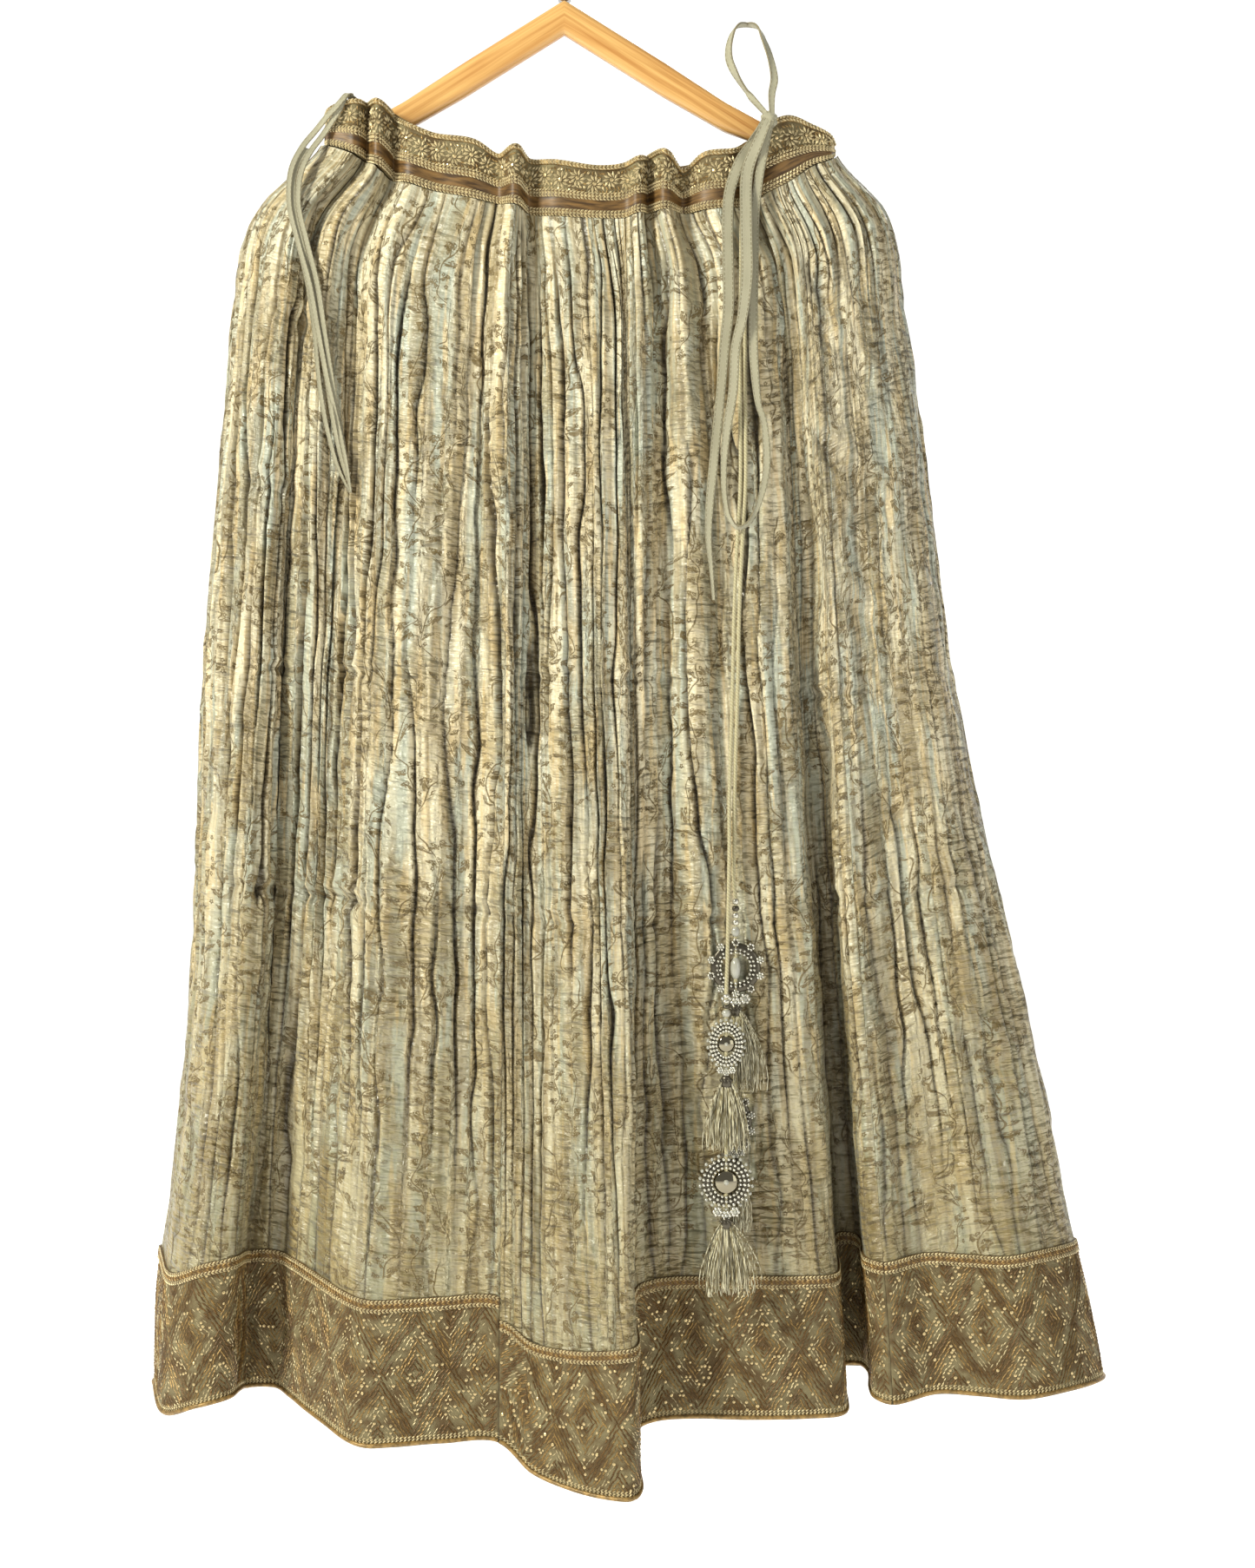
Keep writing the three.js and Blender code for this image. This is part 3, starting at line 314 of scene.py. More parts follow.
def curve(points, shares, closed=False):
    """A smooth line through points, at shares of its length from 0 to 1."""
    points = np.asarray(points, float)
    count = len(points)
    if closed:
        spot = np.asarray(shares) * count
        k = np.floor(spot).astype(int)
        p = [points[(k + step) % count] for step in (-1, 0, 1, 2)]
    else:
        ends = np.vstack([2 * points[0] - points[1], points, 2 * points[-1] - points[-2]])
        spot = np.asarray(shares) * (count - 1)
        k = np.minimum(np.floor(spot).astype(int), count - 2)
        p = [ends[k + step] for step in range(4)]
    w = (spot - k)[:, None]
    gaps = [np.sqrt(np.linalg.norm(p[n + 1] - p[n], axis=1))[:, None] for n in range(3)]
    a, b, c = [np.maximum(g, 1e-5) for g in gaps]
    t1 = b * ((p[1] - p[0]) / a - (p[2] - p[0]) / (a + b) + (p[2] - p[1]) / b)
    t2 = b * ((p[2] - p[1]) / b - (p[3] - p[1]) / (b + c) + (p[3] - p[2]) / c)
    return (p[1] + t1 * w + (3 * (p[2] - p[1]) - 2 * t1 - t2) * w ** 2
            + (2 * (p[1] - p[2]) + t1 + t2) * w ** 3)


def lengths(points):
    """How far along a line each of its points lies."""
    steps = np.linalg.norm(np.diff(points, axis=0), axis=1)
    return np.concatenate([[0], np.cumsum(steps)])


class Waist:
    """One side of the waistband, its line sampled finely."""

    def __init__(self, rows, steps):
        shares = np.linspace(0, 1, steps)
        self.low = curve(np.stack([rows["x"], rows["y"], rows["bottom"]], 1), shares)
        self.high = curve(np.stack([rows["x"], rows["y"], rows["top"]], 1), shares)
        for line in (self.low, self.high):
            line[:, 1] += FOLD_MORE * (line[:, 1] - smooth(line[:, 1], FOLD_REACH))
        self.far = lengths(self.low[:, :2])

    def at(self, share):
        far = share * self.far[-1]
        return np.stack([np.interp(far, self.far, self.low[:, k]) for k in range(3)], 1)


waist_front = Waist(WAIST_FRONT, 420)
waist_back = Waist(WAIST_BACK, 320)


class Skirt:
    """The whole ring of cloth: for each column its place at waist and hem and its pleat."""

    def __init__(self):
        count = len(HEM["x"])
        hem_points = np.stack([HEM["x"], HEM["y"], HEM["z"]], 1)
        steps = (HEM["pleats"] * COLUMNS_PER_PLEAT).astype(int)
        waist_next = np.append(HEM["waist"][1:], 2)
        shares, waist, self.first = [], [], []
        for row in range(count):
            part = np.arange(steps[row]) / steps[row]
            self.first.append(sum(steps[:row]))
            shares.append((row + part) / count)
            waist.append(HEM["waist"][row] + (waist_next[row] - HEM["waist"][row]) * part)
        shares = np.concatenate(shares)
        waist = np.concatenate(waist)
        self.count = len(shares)
        self.pleat = np.arange(self.count) / COLUMNS_PER_PLEAT
        self.hem = curve(hem_points, shares, closed=True)
        front = np.minimum(waist, 1)
        back = np.maximum(waist - 1, 0)
        self.waist = np.where(waist[:, None] <= 1, waist_front.at(front), waist_back.at(back))
        self.waist[:, 2] -= WAIST_GAP
        self.side = np.where(shares * count >= RIGHT_SIDE, 1, -1)
        mean = smooth(self.hem[:, 1], HOLLOW_REACH, closed=True)
        self.hollow = np.clip(self.side * (mean - self.hem[:, 1]) / HOLLOW_DEPTH, 0, 1)
        self.drop = self.waist[:, 2] - self.hem[:, 2]
        self.calm = np.clip((self.hem[:, 0] - CALM_START) / CALM_FADE, 0, 1) * (self.side < 0)

    def spread(self, key, down):
        """One column of how the cloth spreads, softened, at shares of the way down."""
        fine = np.linspace(0, 1, 400)
        return np.interp(down, fine, smooth(np.interp(fine, SPREAD["down"], SPREAD[key]), 5))

    def base(self, pick, down):
        """Cloth before its pleats, for columns pick and their rows of down."""
        hem, waist = self.hem[pick], self.waist[pick]
        side = np.clip((hem[:, 0] - MIDDLE) / HALF_WIDTH, -1, 1)
        rightness = (side + 1) / 2
        width = (self.spread("left", down) * (1 - rightness)
                 + self.spread("right", down) * rightness)
        swell = self.side[pick] * FULLNESS * np.sqrt(1 - side ** 2)
        x = waist[:, 0] + (hem[:, 0] - waist[:, 0]) * width
        fold = (hem[:, 1] - waist[:, 1] - swell) * down ** FOLD_POWER
        y = waist[:, 1] + swell * self.spread("depth", down) + fold
        z = waist[:, 2] + (hem[:, 2] - waist[:, 2]) * down
        return np.stack([x, y, z], -1)

    def face(self, pick, down, reach):
        """The way out from the cloth, level, and the space between columns there."""
        after = self.base((pick + reach) % self.count, down)
        before = self.base((pick - reach) % self.count, down)
        step = after - before
        out = np.stack([step[..., 1], -step[..., 0], np.zeros(step.shape[:-1])], -1)
        size = np.linalg.norm(out, axis=-1, keepdims=True)
        return out / np.maximum(size, 1e-6), size[..., 0] / (2 * reach)

    def point(self, pick, down, out=0, pleated=True):
        """Places on the cloth, or a distance out from it."""
        face, space = self.face(pick, down, PLEATED_REACH if pleated else SMOOTH_REACH)
        height = self.relief(pick, down, space * COLUMNS_PER_PLEAT)[0] if pleated else 0
        return self.base(pick, down) + face * (height + np.asarray(out))[..., None]

    def relief(self, pick, down, pitch):
        """Heights of the pleats, with flat tops and narrow valleys, and of the creases crushed
        across them. The second result is how light each place is, from a valley to a top."""
        p = self.pleat[pick] + 0 * down
        q = p + layered(DRIFTS, p, down)
        f = q - np.floor(q)
        which = np.floor(q)
        from_valley = np.minimum(f, 1 - f)
        near_valley = np.where(f < 0.5, which, which + 1)
        open_valley = np.clip(2.1 * noise(near_valley, down * 6, 3) - 0.3, *VALLEY_OPEN)
        hand = np.where(noise(near_valley, down * 2, 15) > 0.5, 1, -1)
        past = np.where(f < 0.5, f, f - 1) * hand
        groove = np.exp(-(past / np.where(past > 0, STEEP_SIDE, SLACK_SIDE)) ** 2) * open_valley
        crown = 1 - np.abs(2 * f - 1) ** 4
        lip = np.exp(-((from_valley - LIP_PLACE) / LIP_WIDTH) ** 2)
        lip = lip * noise(near_valley, down * 9, 13)
        lean = LEAN * (noise(which, down * 3, 4) - 0.5) * (f - 0.5)
        second = SECOND * (noise(q * 2.6, down * 9, 5) - 0.5)
        rise = noise(which, down * 2.5, 6)

        depth = np.minimum(self.spread("pleat", down) * DEEPER, pitch * 0.5)
        calm = self.calm[pick] * np.interp(down, CALM_HEIGHTS, (0, 1, 1, 0))
        depth = depth * (1 - 0.8 * calm)
        groove = groove * (1 - 0.75 * calm)
        lower = np.clip((down - 0.55) / 0.3, 0, 1)
        pleats = depth * (1 - 0.3 * lower) * (CROWN * crown + lean + second + LIP * lip
                                              + RISE * rise - GROOVE * groove - 0.2)
        facets = FACET * (noise(p * 0.3 + down * 9, down * 13, 16) - 0.5)
        facets = facets + SMALL_FACET * (noise(p * 0.8 - down * 16, down * 30, 17) - 0.5)
        pleats = pleats + SWELL * lower * (noise(p * 0.3, down * 2.2, 14) - 0.5) + calm * facets
        crush = CRUSH * np.clip(depth / 0.002, 0.3, 1) * (
            noise(q * 1.1 + 9, down * 46, 7) + 0.7 * noise(q * 2.1, down * 78, 8) - 0.85)

        # The level is painted light and shade: dark in the valleys, light on crowns and lips, and
        # lighter or darker with each pleat's lean
        level = np.clip(0.7 + 0.3 * crown + 0.45 * lean + 0.3 * lip + 0.5 * (rise - 0.5)
                        - (1.15 - 0.6 * lower) * groove, 0, 1)
        # Painted shade in the hem's hollows, growing from a third of the way down
        level = level * (1 - 0.6 * self.hollow[pick] * np.clip((down - 0.3) / 0.35, 0, 1))
        return pleats + crush, level


skirt = Skirt()

# Creases pressed and crushed into the cloth: from one place to another, with their width
# and depth. side is -1 in front and 1 behind.
CREASES = table("side x0 z0 x1 z1 width depth", [
    (-1, -0.27, -0.603, -0.08, -0.612, 0.004, 0.0022),
    (-1, -0.09, -0.611, 0.12, -0.615, 0.005, 0.0024),
    (-1, 0.10, -0.622, 0.30, -0.63, 0.004, 0.0016),
    (-1, -0.28, -0.775, -0.12, -0.792, 0.005, 0.0028),
    (-1, -0.13, -0.79, 0.06, -0.812, 0.006, 0.0032),
    (-1, 0.04, -0.806, 0.2, -0.802, 0.005, 0.0024),
    (-1, 0.19, -0.79, 0.34, -0.776, 0.005, 0.0018),
    (-1, 0.186, -0.275, 0.226, -0.34, 0.008, 0.004),
    (-1, 0.2, -0.33, 0.246, -0.39, 0.009, 0.004),
    (-1, 0.19, -0.42, 0.252, -0.47, 0.009, 0.0035),
    (-1, 0.214, -0.50, 0.262, -0.47, 0.008, 0.003),
    (-1, 0.2, -0.54, 0.27, -0.585, 0.008, 0.003),
    (-1, -0.24, -0.31, -0.18, -0.345, 0.008, 0.003),
    (-1, -0.26, -0.45, -0.21, -0.475, 0.008, 0.0026),
    (-1, 0.24, -0.7, 0.31, -0.76, 0.009, 0.003),
    (-1, 0.28, -0.88, 0.36, -0.93, 0.01, 0.003),
    (1, -0.26, -0.61, -0.06, -0.6, 0.005, 0.0024),
    (1, -0.07, -0.602, 0.14, -0.618, 0.005, 0.0022),
    (1, 0.13, -0.615, 0.29, -0.604, 0.005, 0.002),
    (1, -0.27, -0.8, -0.04, -0.81, 0.006, 0.003),
    (1, -0.05, -0.812, 0.2, -0.796, 0.006, 0.003),
    (1, 0.18, -0.8, 0.35, -0.788, 0.005, 0.002),
    (1, 0.18, -0.29, 0.23, -0.35, 0.009, 0.0036),
    (1, -0.15, -0.34, -0.1, -0.37, 0.009, 0.003),
    (1, 0.02, -0.47, 0.09, -0.44, 0.009, 0.003),
    (1, -0.2, -0.7, -0.13, -0.735, 0.009, 0.003),
])
CREASE_DEEPER = 1.6
CREASE_WAVE = 0.006
CREASE_LIP = 0.55


def creased(points, out, side):
    """The points moved out or in by the creases near them, and how far each has moved."""
    height = np.zeros(points.shape[:-1])
    for k in range(len(CREASES["side"])):
        row = {name: values[k] for name, values in CREASES.items()}
        a = np.array([row["x0"], row["z0"]])
        b = np.array([row["x1"], row["z1"]])
        here = points[..., (0, 2)]
        along = np.clip(((here - a) @ (b - a)) / ((b - a) @ (b - a)), -0.1, 1.1)
        wave = CREASE_WAVE * (noise(here[..., 0] * 55 + k, here[..., 1] * 9, 11) - 0.5)
        nearest = a + along[..., None] * (b - a)
        away = here - nearest
        sign = np.sign(away[..., 1] + wave)
        far = np.hypot(away[..., 0], away[..., 1] + wave) / row["width"]
        fade = np.clip(np.sin(np.pi * np.clip(along, 0, 1)) * 1.6, 0, 1)
        fade = fade * (0.2 + 1.1 * noise(here[..., 0] * 60, here[..., 1] * 5 + k, 18))
        trough = -np.exp(-far ** 2) + CREASE_LIP * np.exp(-(far - 1.5) ** 2) * (sign > 0)
        deep = CREASE_DEEPER * row["depth"] * fade * trough
        height += np.where(side == row["side"], deep, 0)
    return points + out * height[..., None], height


def border_depth(panel, pick):
    """How far above the hem a panel's border starts, column by column."""
    first, _, drop = PANELS[panel]
    start = skirt.hem[skirt.first[first % len(skirt.first)]]
    here = skirt.hem[pick]
    far = np.hypot(here[:, 0] - start[0], here[:, 1] - start[1])
    return BORDER_HEIGHT - drop * np.clip(1 - far / DROP_LENGTH, 0, 1)


def down_at(pick, above_hem):
    """The share of the way down at a height above the hem."""
    return 1 - above_hem / skirt.drop[pick]


def panel_columns(panel):
    """The columns of cloth from one of a panel's seams to the other."""
    first, last, _ = PANELS[panel]
    rows = len(skirt.first)
    start = skirt.first[first % rows]
    end = skirt.first[last % rows] + (skirt.count if last >= rows else 0)
    return np.arange(start, end + 1) % skirt.count


def draw_in(points, gap):
    """Both side edges of a grid, drawn in from their seams."""
    for edge, inner in ((0, 1), (-1, -2)):
        step = points[:, inner] - points[:, edge]
        size = np.maximum(np.linalg.norm(step, axis=1, keepdims=True), 1e-6)
        points[:, edge] += step / size * np.minimum(gap, size / 2)
    return points


def make_mesh(name, points, faces, finish, maps=(), shaded=True):
    """A mesh object from arrays: faces all have one number of corners, maps are per point."""
    mesh = bpy.data.meshes.new(name)
    points, faces = np.asarray(points, float), np.asarray(faces, int)
    mesh.vertices.add(len(points))
    mesh.vertices.foreach_set("co", points.ravel())
    corners = faces.shape[1]
    mesh.loops.add(faces.size)
    mesh.loops.foreach_set("vertex_index", faces.ravel())
    mesh.polygons.add(len(faces))
    mesh.polygons.foreach_set("loop_start", np.arange(len(faces)) * corners)
    mesh.polygons.foreach_set("loop_total", np.full(len(faces), corners))
    mesh.polygons.foreach_set("use_smooth", np.full(len(faces), shaded))
    for title, values in maps:
        layer = mesh.uv_layers.new(name=title)
        layer.data.foreach_set("uv", np.asarray(values, float)[faces.ravel()].ravel())
    mesh.update(calc_edges=True)
    piece = bpy.data.objects.new(name, mesh)
    bpy.context.scene.collection.objects.link(piece)
    mesh.materials.append(finish)
    return piece


def grid_faces(rows, count, closed=False):
    """Four-cornered faces of a grid of points, row by row from its top."""
    r, c = np.meshgrid(np.arange(rows - 1), np.arange(count - (0 if closed else 1)), indexing="ij")
    n = (c + 1) % count
    return np.stack([r * count + c, (r + 1) * count + c, (r + 1) * count + n, r * count + n],
                    -1).reshape(-1, 4)


def place(piece, slot, *nodes):
    """A finished piece rides on the hanger and stands for its solids."""
    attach(piece, "root")
    if nodes:
        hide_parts(*nodes)
    return piece


class Surface:
    """A grid of points that trims are laid on, by the distance along it and up from its
    lower edge."""

    def __init__(self, points):
        self.points = points
        middle = points[len(points) // 2]
        self.far = lengths(middle)
        self.length = self.far[-1]
        across = np.gradient(points, axis=1)
        down = np.gradient(points, axis=0)
        out = np.cross(down, across)
        self.out = out / np.maximum(np.linalg.norm(out, axis=-1, keepdims=True), 1e-9)

    def at(self, far, share):
        """Place, way out and way along at distances far and shares of height (0 is low)."""
        column = np.interp(far, self.far, np.arange(len(self.far)))
        row = (1 - np.asarray(share)) * (len(self.points) - 1)
        c = np.clip(np.floor(column).astype(int), 0, len(self.far) - 2)
        r = np.clip(np.floor(row).astype(int), 0, len(self.points) - 2)
        u, v = (column - c)[..., None], (row - r)[..., None]

        def mix(grid):
            top = grid[r, c] * (1 - u) + grid[r, c + 1] * u
            low = grid[r + 1, c] * (1 - u) + grid[r + 1, c + 1] * u
            return top * (1 - v) + low * v

        along = self.points[r, c + 1] - self.points[r, c]
        along = along / np.maximum(np.linalg.norm(along, axis=-1, keepdims=True), 1e-9)
        return mix(self.points), mix(self.out), along


def scatter(name, surface, far, share, out, template, faces, angle, size, finish, lean=0):
    """One mesh of a small form repeated over a surface. The template's columns are along,
    up and out."""
    place_at, way_out, along = surface.at(far, share)
    up = np.cross(way_out, along)
    turn_cos, turn_sin = np.cos(angle)[:, None], np.sin(angle)[:, None]
    first = along * turn_cos + up * turn_sin
    second = up * turn_cos - along * turn_sin
    size = np.broadcast_to(size, far.shape)[:, None, None]
    t = template[None] * size
    if lean:
        tip = lean * (noise(far * 1700, share * 170, 22) - 0.5)[:, None, None]
        t = np.concatenate([t[..., :2], t[..., 2:] + np.abs(tip) * size / 2 + tip * t[..., :1]], -1)
    points = (place_at[:, None] + first[:, None] * t[..., :1] + second[:, None] * t[..., 1:2]
              + way_out[:, None] * (t[..., 2:] + out))
    offsets = np.arange(len(far))[:, None, None] * len(template)
    faces = (faces[None] + offsets).reshape(-1, faces.shape[1])
    return make_mesh(name, points.reshape(-1, 3), faces, finish, shaded=False)


class Value:
    """A number that changes over a surface. Python's operators add the nodes for it."""

    def __init__(self, paint, socket):
        self.paint = paint
        self.socket = socket

    def math(self, operation, *others, clamp=False):
        values = dict(enumerate([self, *others]))
        settings = {"operation": operation, "use_clamp": clamp}
        return self.paint.node("ShaderNodeMath", settings, values)

    def __add__(self, other):
        return self.math("ADD", other)

    def __sub__(self, other):
        return self.math("SUBTRACT", other)

    def __rsub__(self, other):
        return self.paint.node("ShaderNodeMath", {"operation": "SUBTRACT"}, {0: other, 1: self})

    def __mul__(self, other):
        return self.math("MULTIPLY", other)

    def __truediv__(self, other):
        return self.math("DIVIDE", other)

    def __pow__(self, other):
        return self.math("POWER", other)

    __radd__ = __add__
    __rmul__ = __mul__

    def sin(self):
        return self.math("SINE")

    def size(self):
        return self.math("ABSOLUTE")

    def floor(self):
        return self.math("FLOOR")

    def share(self):
        return self.math("FRACT")

    def most(self, other):
        return self.math("MAXIMUM", other)

    def under(self, edge, soft):
        """1 where the value is below an edge, with a soft step."""
        return ((edge - self) / soft + 0.5).math("ADD", 0, clamp=True)

    def over(self, edge, soft):
        """1 where the value is above an edge."""
        return 1 - self.under(edge, soft)


class Paint:
    """One finish. node() adds any node and gives back one of its outputs."""

    def __init__(self, name, colour, roughness, **own):
        self.material = bpy.data.materials.new(name)
        self.material.use_nodes = True
        self.tree = self.material.node_tree
        self.skin = self.tree.nodes["Principled BSDF"]
        self.skin.inputs["Base Color"].default_value = (*colour, 1)
        self.skin.inputs["Roughness"].default_value = roughness
        for socket, value in own.items():
            self.skin.inputs[socket.replace("_", " ")].default_value = value

    def node(self, kind, settings=None, values=None, output=0):
        made = self.tree.nodes.new(kind)
        for key, value in (settings or {}).items():
            setattr(made, key, value)
        for key, value in (values or {}).items():
            if isinstance(value, Value):
                self.tree.links.new(value.socket, made.inputs[key])
            else:
                made.inputs[key].default_value = value
        return Value(self, made.outputs[output])

    def set(self, socket, value):
        self.tree.links.new(value.socket, self.skin.inputs[socket])

    def parts(self, vector, count=3):
        """A vector's own numbers."""
        return [self.node("ShaderNodeSeparateXYZ", None, {0: vector}, k) for k in range(count)]

    def flat_cloth(self, title="cloth"):
        """The two numbers of a map. For cloth they are its place before it was pleated."""
        return self.parts(self.node("ShaderNodeUVMap", {"uv_map": title}), 2)

    def in_space(self):
        """The place in space, as one vector."""
        return self.node("ShaderNodeTexCoord", None, None, 3)

    def vector(self, x, y, z=0.0):
        return self.node("ShaderNodeCombineXYZ", None, {0: x, 1: y, 2: z})

    def noise(self, vector, scale, detail=2.0, rough=0.5):
        return self.node("ShaderNodeTexNoise", None,
                         {"Vector": vector, "Scale": scale, "Detail": detail, "Roughness": rough})

    def mix(self, first, second, factor):
        values = {"Factor": factor, 6: first, 7: second}
        return self.node("ShaderNodeMix", {"data_type": "RGBA"}, values, 2)

    def bump(self, height, distance, strength=1.0):
        self.set("Normal", self.node("ShaderNodeBump", None, {
            "Height": height, "Distance": distance, "Strength": strength}))


def colour(red, green, blue):
    """A colour from its screen values, 0 to 255, as the light it stands for."""
    return tuple((v / 255) ** 2.2 for v in (red, green, blue))


def tone(red, green, blue):
    """The same, with its fourth value, for a mix."""
    return (*colour(red, green, blue), 1.0)


def scramble(value, spread):
    """An uneven number from 0 to 1 for each value."""
    return (value.sin() * spread).share()


# Print on the satin: vines whose twigs end in five-petalled flowers, with leaves and buds
VINE_SPACE = 0.027
VINE_SWING = 0.006
VINE_WAVE = 0.07
STEM = 0.0006
TWIG_SPACE = 0.0125
TWIG_LENGTH = 0.0085
LEAF_PLACE = 0.0042
LEAF_LENGTH = 0.0024
FLOWER_RADIUS = 0.0033
BUD_SPACE = 0.0105
BUD_RADIUS = 0.0021
BUD_RISE = -0.0026
LEAF_WIDTH = 0.0013
LEAF_RISE = 0.0011
TWIG = 0.0004
TWIG_SLOPE = 0.55
SMALL_SWING = 0.0016
SMALL_WAVE = 0.0231
WANDER_ACROSS = 0.042
WANDER_DOWN = 0.036
SHARP = 0.0003


def petals(right, up, radius, turned=0.0):
    """A five-petalled flower round the place where right and up are nothing."""
    far = (right * right + up * up) ** 0.5
    turn = right.math("ARCTAN2", up)
    edge = ((turn * 2.5 + turned).sin().size() * 0.5 + 0.5) * radius
    return (far - edge).under(0, 0.0004) * far.over(0.0006, SHARP)


def printed(paint, across, down):
    """Where the print lies, from 0 to 1. Its vines wander unevenly."""
    flat = paint.vector(across, down)
    across = across + (paint.noise(flat, 21.0, 1.0) - 0.5) * WANDER_ACROSS
    down = down + (paint.noise(paint.vector(across + 3, down), 24.0, 1.0) - 0.5) * WANDER_DOWN
    lane = across / VINE_SPACE
    number = lane.floor()
    shift = scramble(number * 12.9898, 43.758)
    run = down + shift * VINE_WAVE * 3
    sway = (run * (2 * math.pi / VINE_WAVE)).sin() * VINE_SWING
    sway = sway + (run * (2 * math.pi / SMALL_WAVE)).sin() * SMALL_SWING
    beside = (lane.share() - 0.5) * VINE_SPACE - sway
    away = beside.size()
    stem = away.under(STEM, 0.0004)

    step = run / TWIG_SPACE + (0 - beside).under(0, 0.0002) * 0.5
    twig_number = step.floor()
    rise = (step.share() - 0.5) * TWIG_SPACE + away * TWIG_SLOPE
    twig = rise.size().under(TWIG, SHARP) * away.under(TWIG_LENGTH, 0.0005)
    leaf_place = away - LEAF_PLACE
    fat = (1 - (leaf_place / LEAF_LENGTH) ** 2).most(0) * LEAF_WIDTH
    leaf = ((rise - LEAF_RISE).size() - fat).under(0, SHARP)
    leaf = leaf * leaf_place.size().under(LEAF_LENGTH, SHARP)
    flower = petals(away - TWIG_LENGTH, rise, FLOWER_RADIUS, twig_number)
    flower = flower.most(petals(away - LEAF_PLACE, rise - BUD_RISE, BUD_RADIUS, twig_number))
    grows = scramble(twig_number * 7.13 + number * 3.7, 91.7).under(0.8, 0.01)

    values = {"Vector": flat, "Scale": 1 / BUD_SPACE, "Randomness": 0.8}
    cell = paint.node("ShaderNodeTexVoronoi", {"voronoi_dimensions": "2D"}, values, 2)
    seed = paint.node("ShaderNodeTexVoronoi", {"voronoi_dimensions": "2D"}, values, 1)
    pick = paint.node("ShaderNodeSeparateColor", None, {0: seed}, 0)
    apart = paint.node("ShaderNodeVectorMath", {"operation": "SUBTRACT"}, {0: flat, 1: cell})
    right, up = paint.parts(apart, 2)
    bud = petals(right, up, BUD_RADIUS, pick * 6.0) * pick.under(0.35, 0.02)

    worn = paint.noise(flat, 420.0, 2.0).under(0.62, 0.14)
    dense = paint.noise(paint.vector(across * 1.4, down * 0.8), 22.0, 2.0).over(0.45, 0.05)
    marks = stem.most(twig.most(leaf).most(flower) * grows).most(bud) * dense
    return marks * (worn * 0.5 + 0.5)


def satin_finish():
    """Crinkled satin: cream, with painted cool and warm reflections streaked along the pleats,
    painted gold sheen in patches that also stand for dense print, painted brown shade in
    streaks and painted shade in the pleats' valleys; darker towards the hem, printed, woven
    and crumpled."""
    paint = Paint("printed_satin", colour(190, 180, 150), 0.42,
                  Sheen_Weight=0.12, Sheen_Roughness=0.4, Specular_IOR_Level=0.8)
    across, down = paint.flat_cloth()
    # height is the painted light of each place: 1 on a pleat's top, 0 in its valley
    height, number = paint.flat_cloth("pleat")
    long_noise = paint.noise(paint.vector(number * 0.9, down * 3.2), 1.0, 2.0)
    small_noise = paint.noise(paint.vector(number * 2.4 + 40, down * 13), 1.0, 2.0)
    run_noise = paint.noise(paint.vector(number * 1.7 + 90, down * 5.5), 1.0, 2.0)
    patches = paint.noise(paint.vector(across * 26, down * 11), 1.0, 4.0, 0.6)
    lower = ((down - 0.4) * 1.6).math("ADD", 0, clamp=True)
    cream, cool_reflection, warm_reflection = tone(226, 213, 178), tone(176, 180, 162), tone(224, 198, 148)
    olive, gold_sheen_and_print, brown = tone(138, 127, 82), tone(156, 128, 66), tone(122, 104, 68)
    ink, shade = tone(110, 90, 42), tone(62, 50, 24)
    # Painted reflections: cool light streaked along some pleats, warm light along others
    cloth = paint.mix(cream, cool_reflection, long_noise.over(0.5, 0.12) * 0.9)
    cloth = paint.mix(cloth, warm_reflection, small_noise.over(0.58, 0.1) * 0.75)
    cloth = paint.mix(cloth, olive, lower * 0.85)
    # Painted gold sheen in patches, which also stands for places where the print is dense
    cloth = paint.mix(cloth, gold_sheen_and_print, patches.over(0.52, 0.1) * 0.45)
    # Painted shade: brown streaks down some of the pleats
    cloth = paint.mix(cloth, brown, run_noise.over(0.54, 0.1) * 0.5)
    print_mask = printed(paint, across, down)
    cloth = paint.mix(cloth, ink, print_mask * 0.9)
    # Painted shade in the pleats' valleys and the hem's hollows
    cloth = paint.mix(cloth, shade, (1 - height) ** 1.7 * 0.9)
    paint.set("Base Color", cloth)
    paint.set("Roughness", print_mask * 0.2 + small_noise * 0.2 + 0.24)
    weave = paint.noise(paint.vector(across * 2200, down * 700), 1.0, 1.0)
    crumple = paint.noise(paint.vector(across * 0.6, down * 1.9), 110.0, 2.0, 0.5)
    folds = paint.noise(paint.vector(across * 0.45, down * 1.8), 60.0, 1.0, 0.4) - 0.5
    crushed = (down * 5 + 0.25).math("ADD", 0, clamp=True) * (1 - patches.under(0.47, 0.2) * 0.55)
    relief = (crumple + folds.size() * 1.9) * crushed + weave * 0.03 + print_mask * 0.05
    paint.bump(relief, 0.0075)
    return paint.material


def embroidered_ground():
    """Net ground under the border's and band's stitches."""
    paint = Paint("embroidered_ground", colour(132, 122, 88), 0.7)
    across, down = paint.flat_cloth()
    flat = paint.vector(across, down)
    net = (across * 5200).sin() * (down * 5200).sin()
    patch = paint.noise(flat, 60.0, 3.0)
    paint.set("Base Color", paint.mix(tone(132, 120, 86), tone(96, 76, 44), patch.over(0.5, 0.2)))
    paint.bump(net * 0.4 + paint.noise(flat, 700.0, 2.0), 0.0005, 0.8)
    return paint.material


def thread(name, rgb, roughness, metal, fleck):
    """Twisted metallic thread: lighter and darker from stitch to stitch."""
    own = colour(*rgb)
    paint = Paint(name, own, roughness, Metallic=metal, Specular_IOR_Level=0.6)
    vector = paint.in_space()
    uneven = paint.noise(vector, 260.0, 2.0)
    light = (*(min(1, v * fleck) for v in own), 1.0)
    dark = (*(v / fleck for v in own), 1.0)
    paint.set("Base Color", paint.mix(dark, light, uneven.over(0.5, 0.25)))
    paint.bump(paint.noise(vector, 1400.0, 1.0), 0.0004, 0.5)
    return paint.material


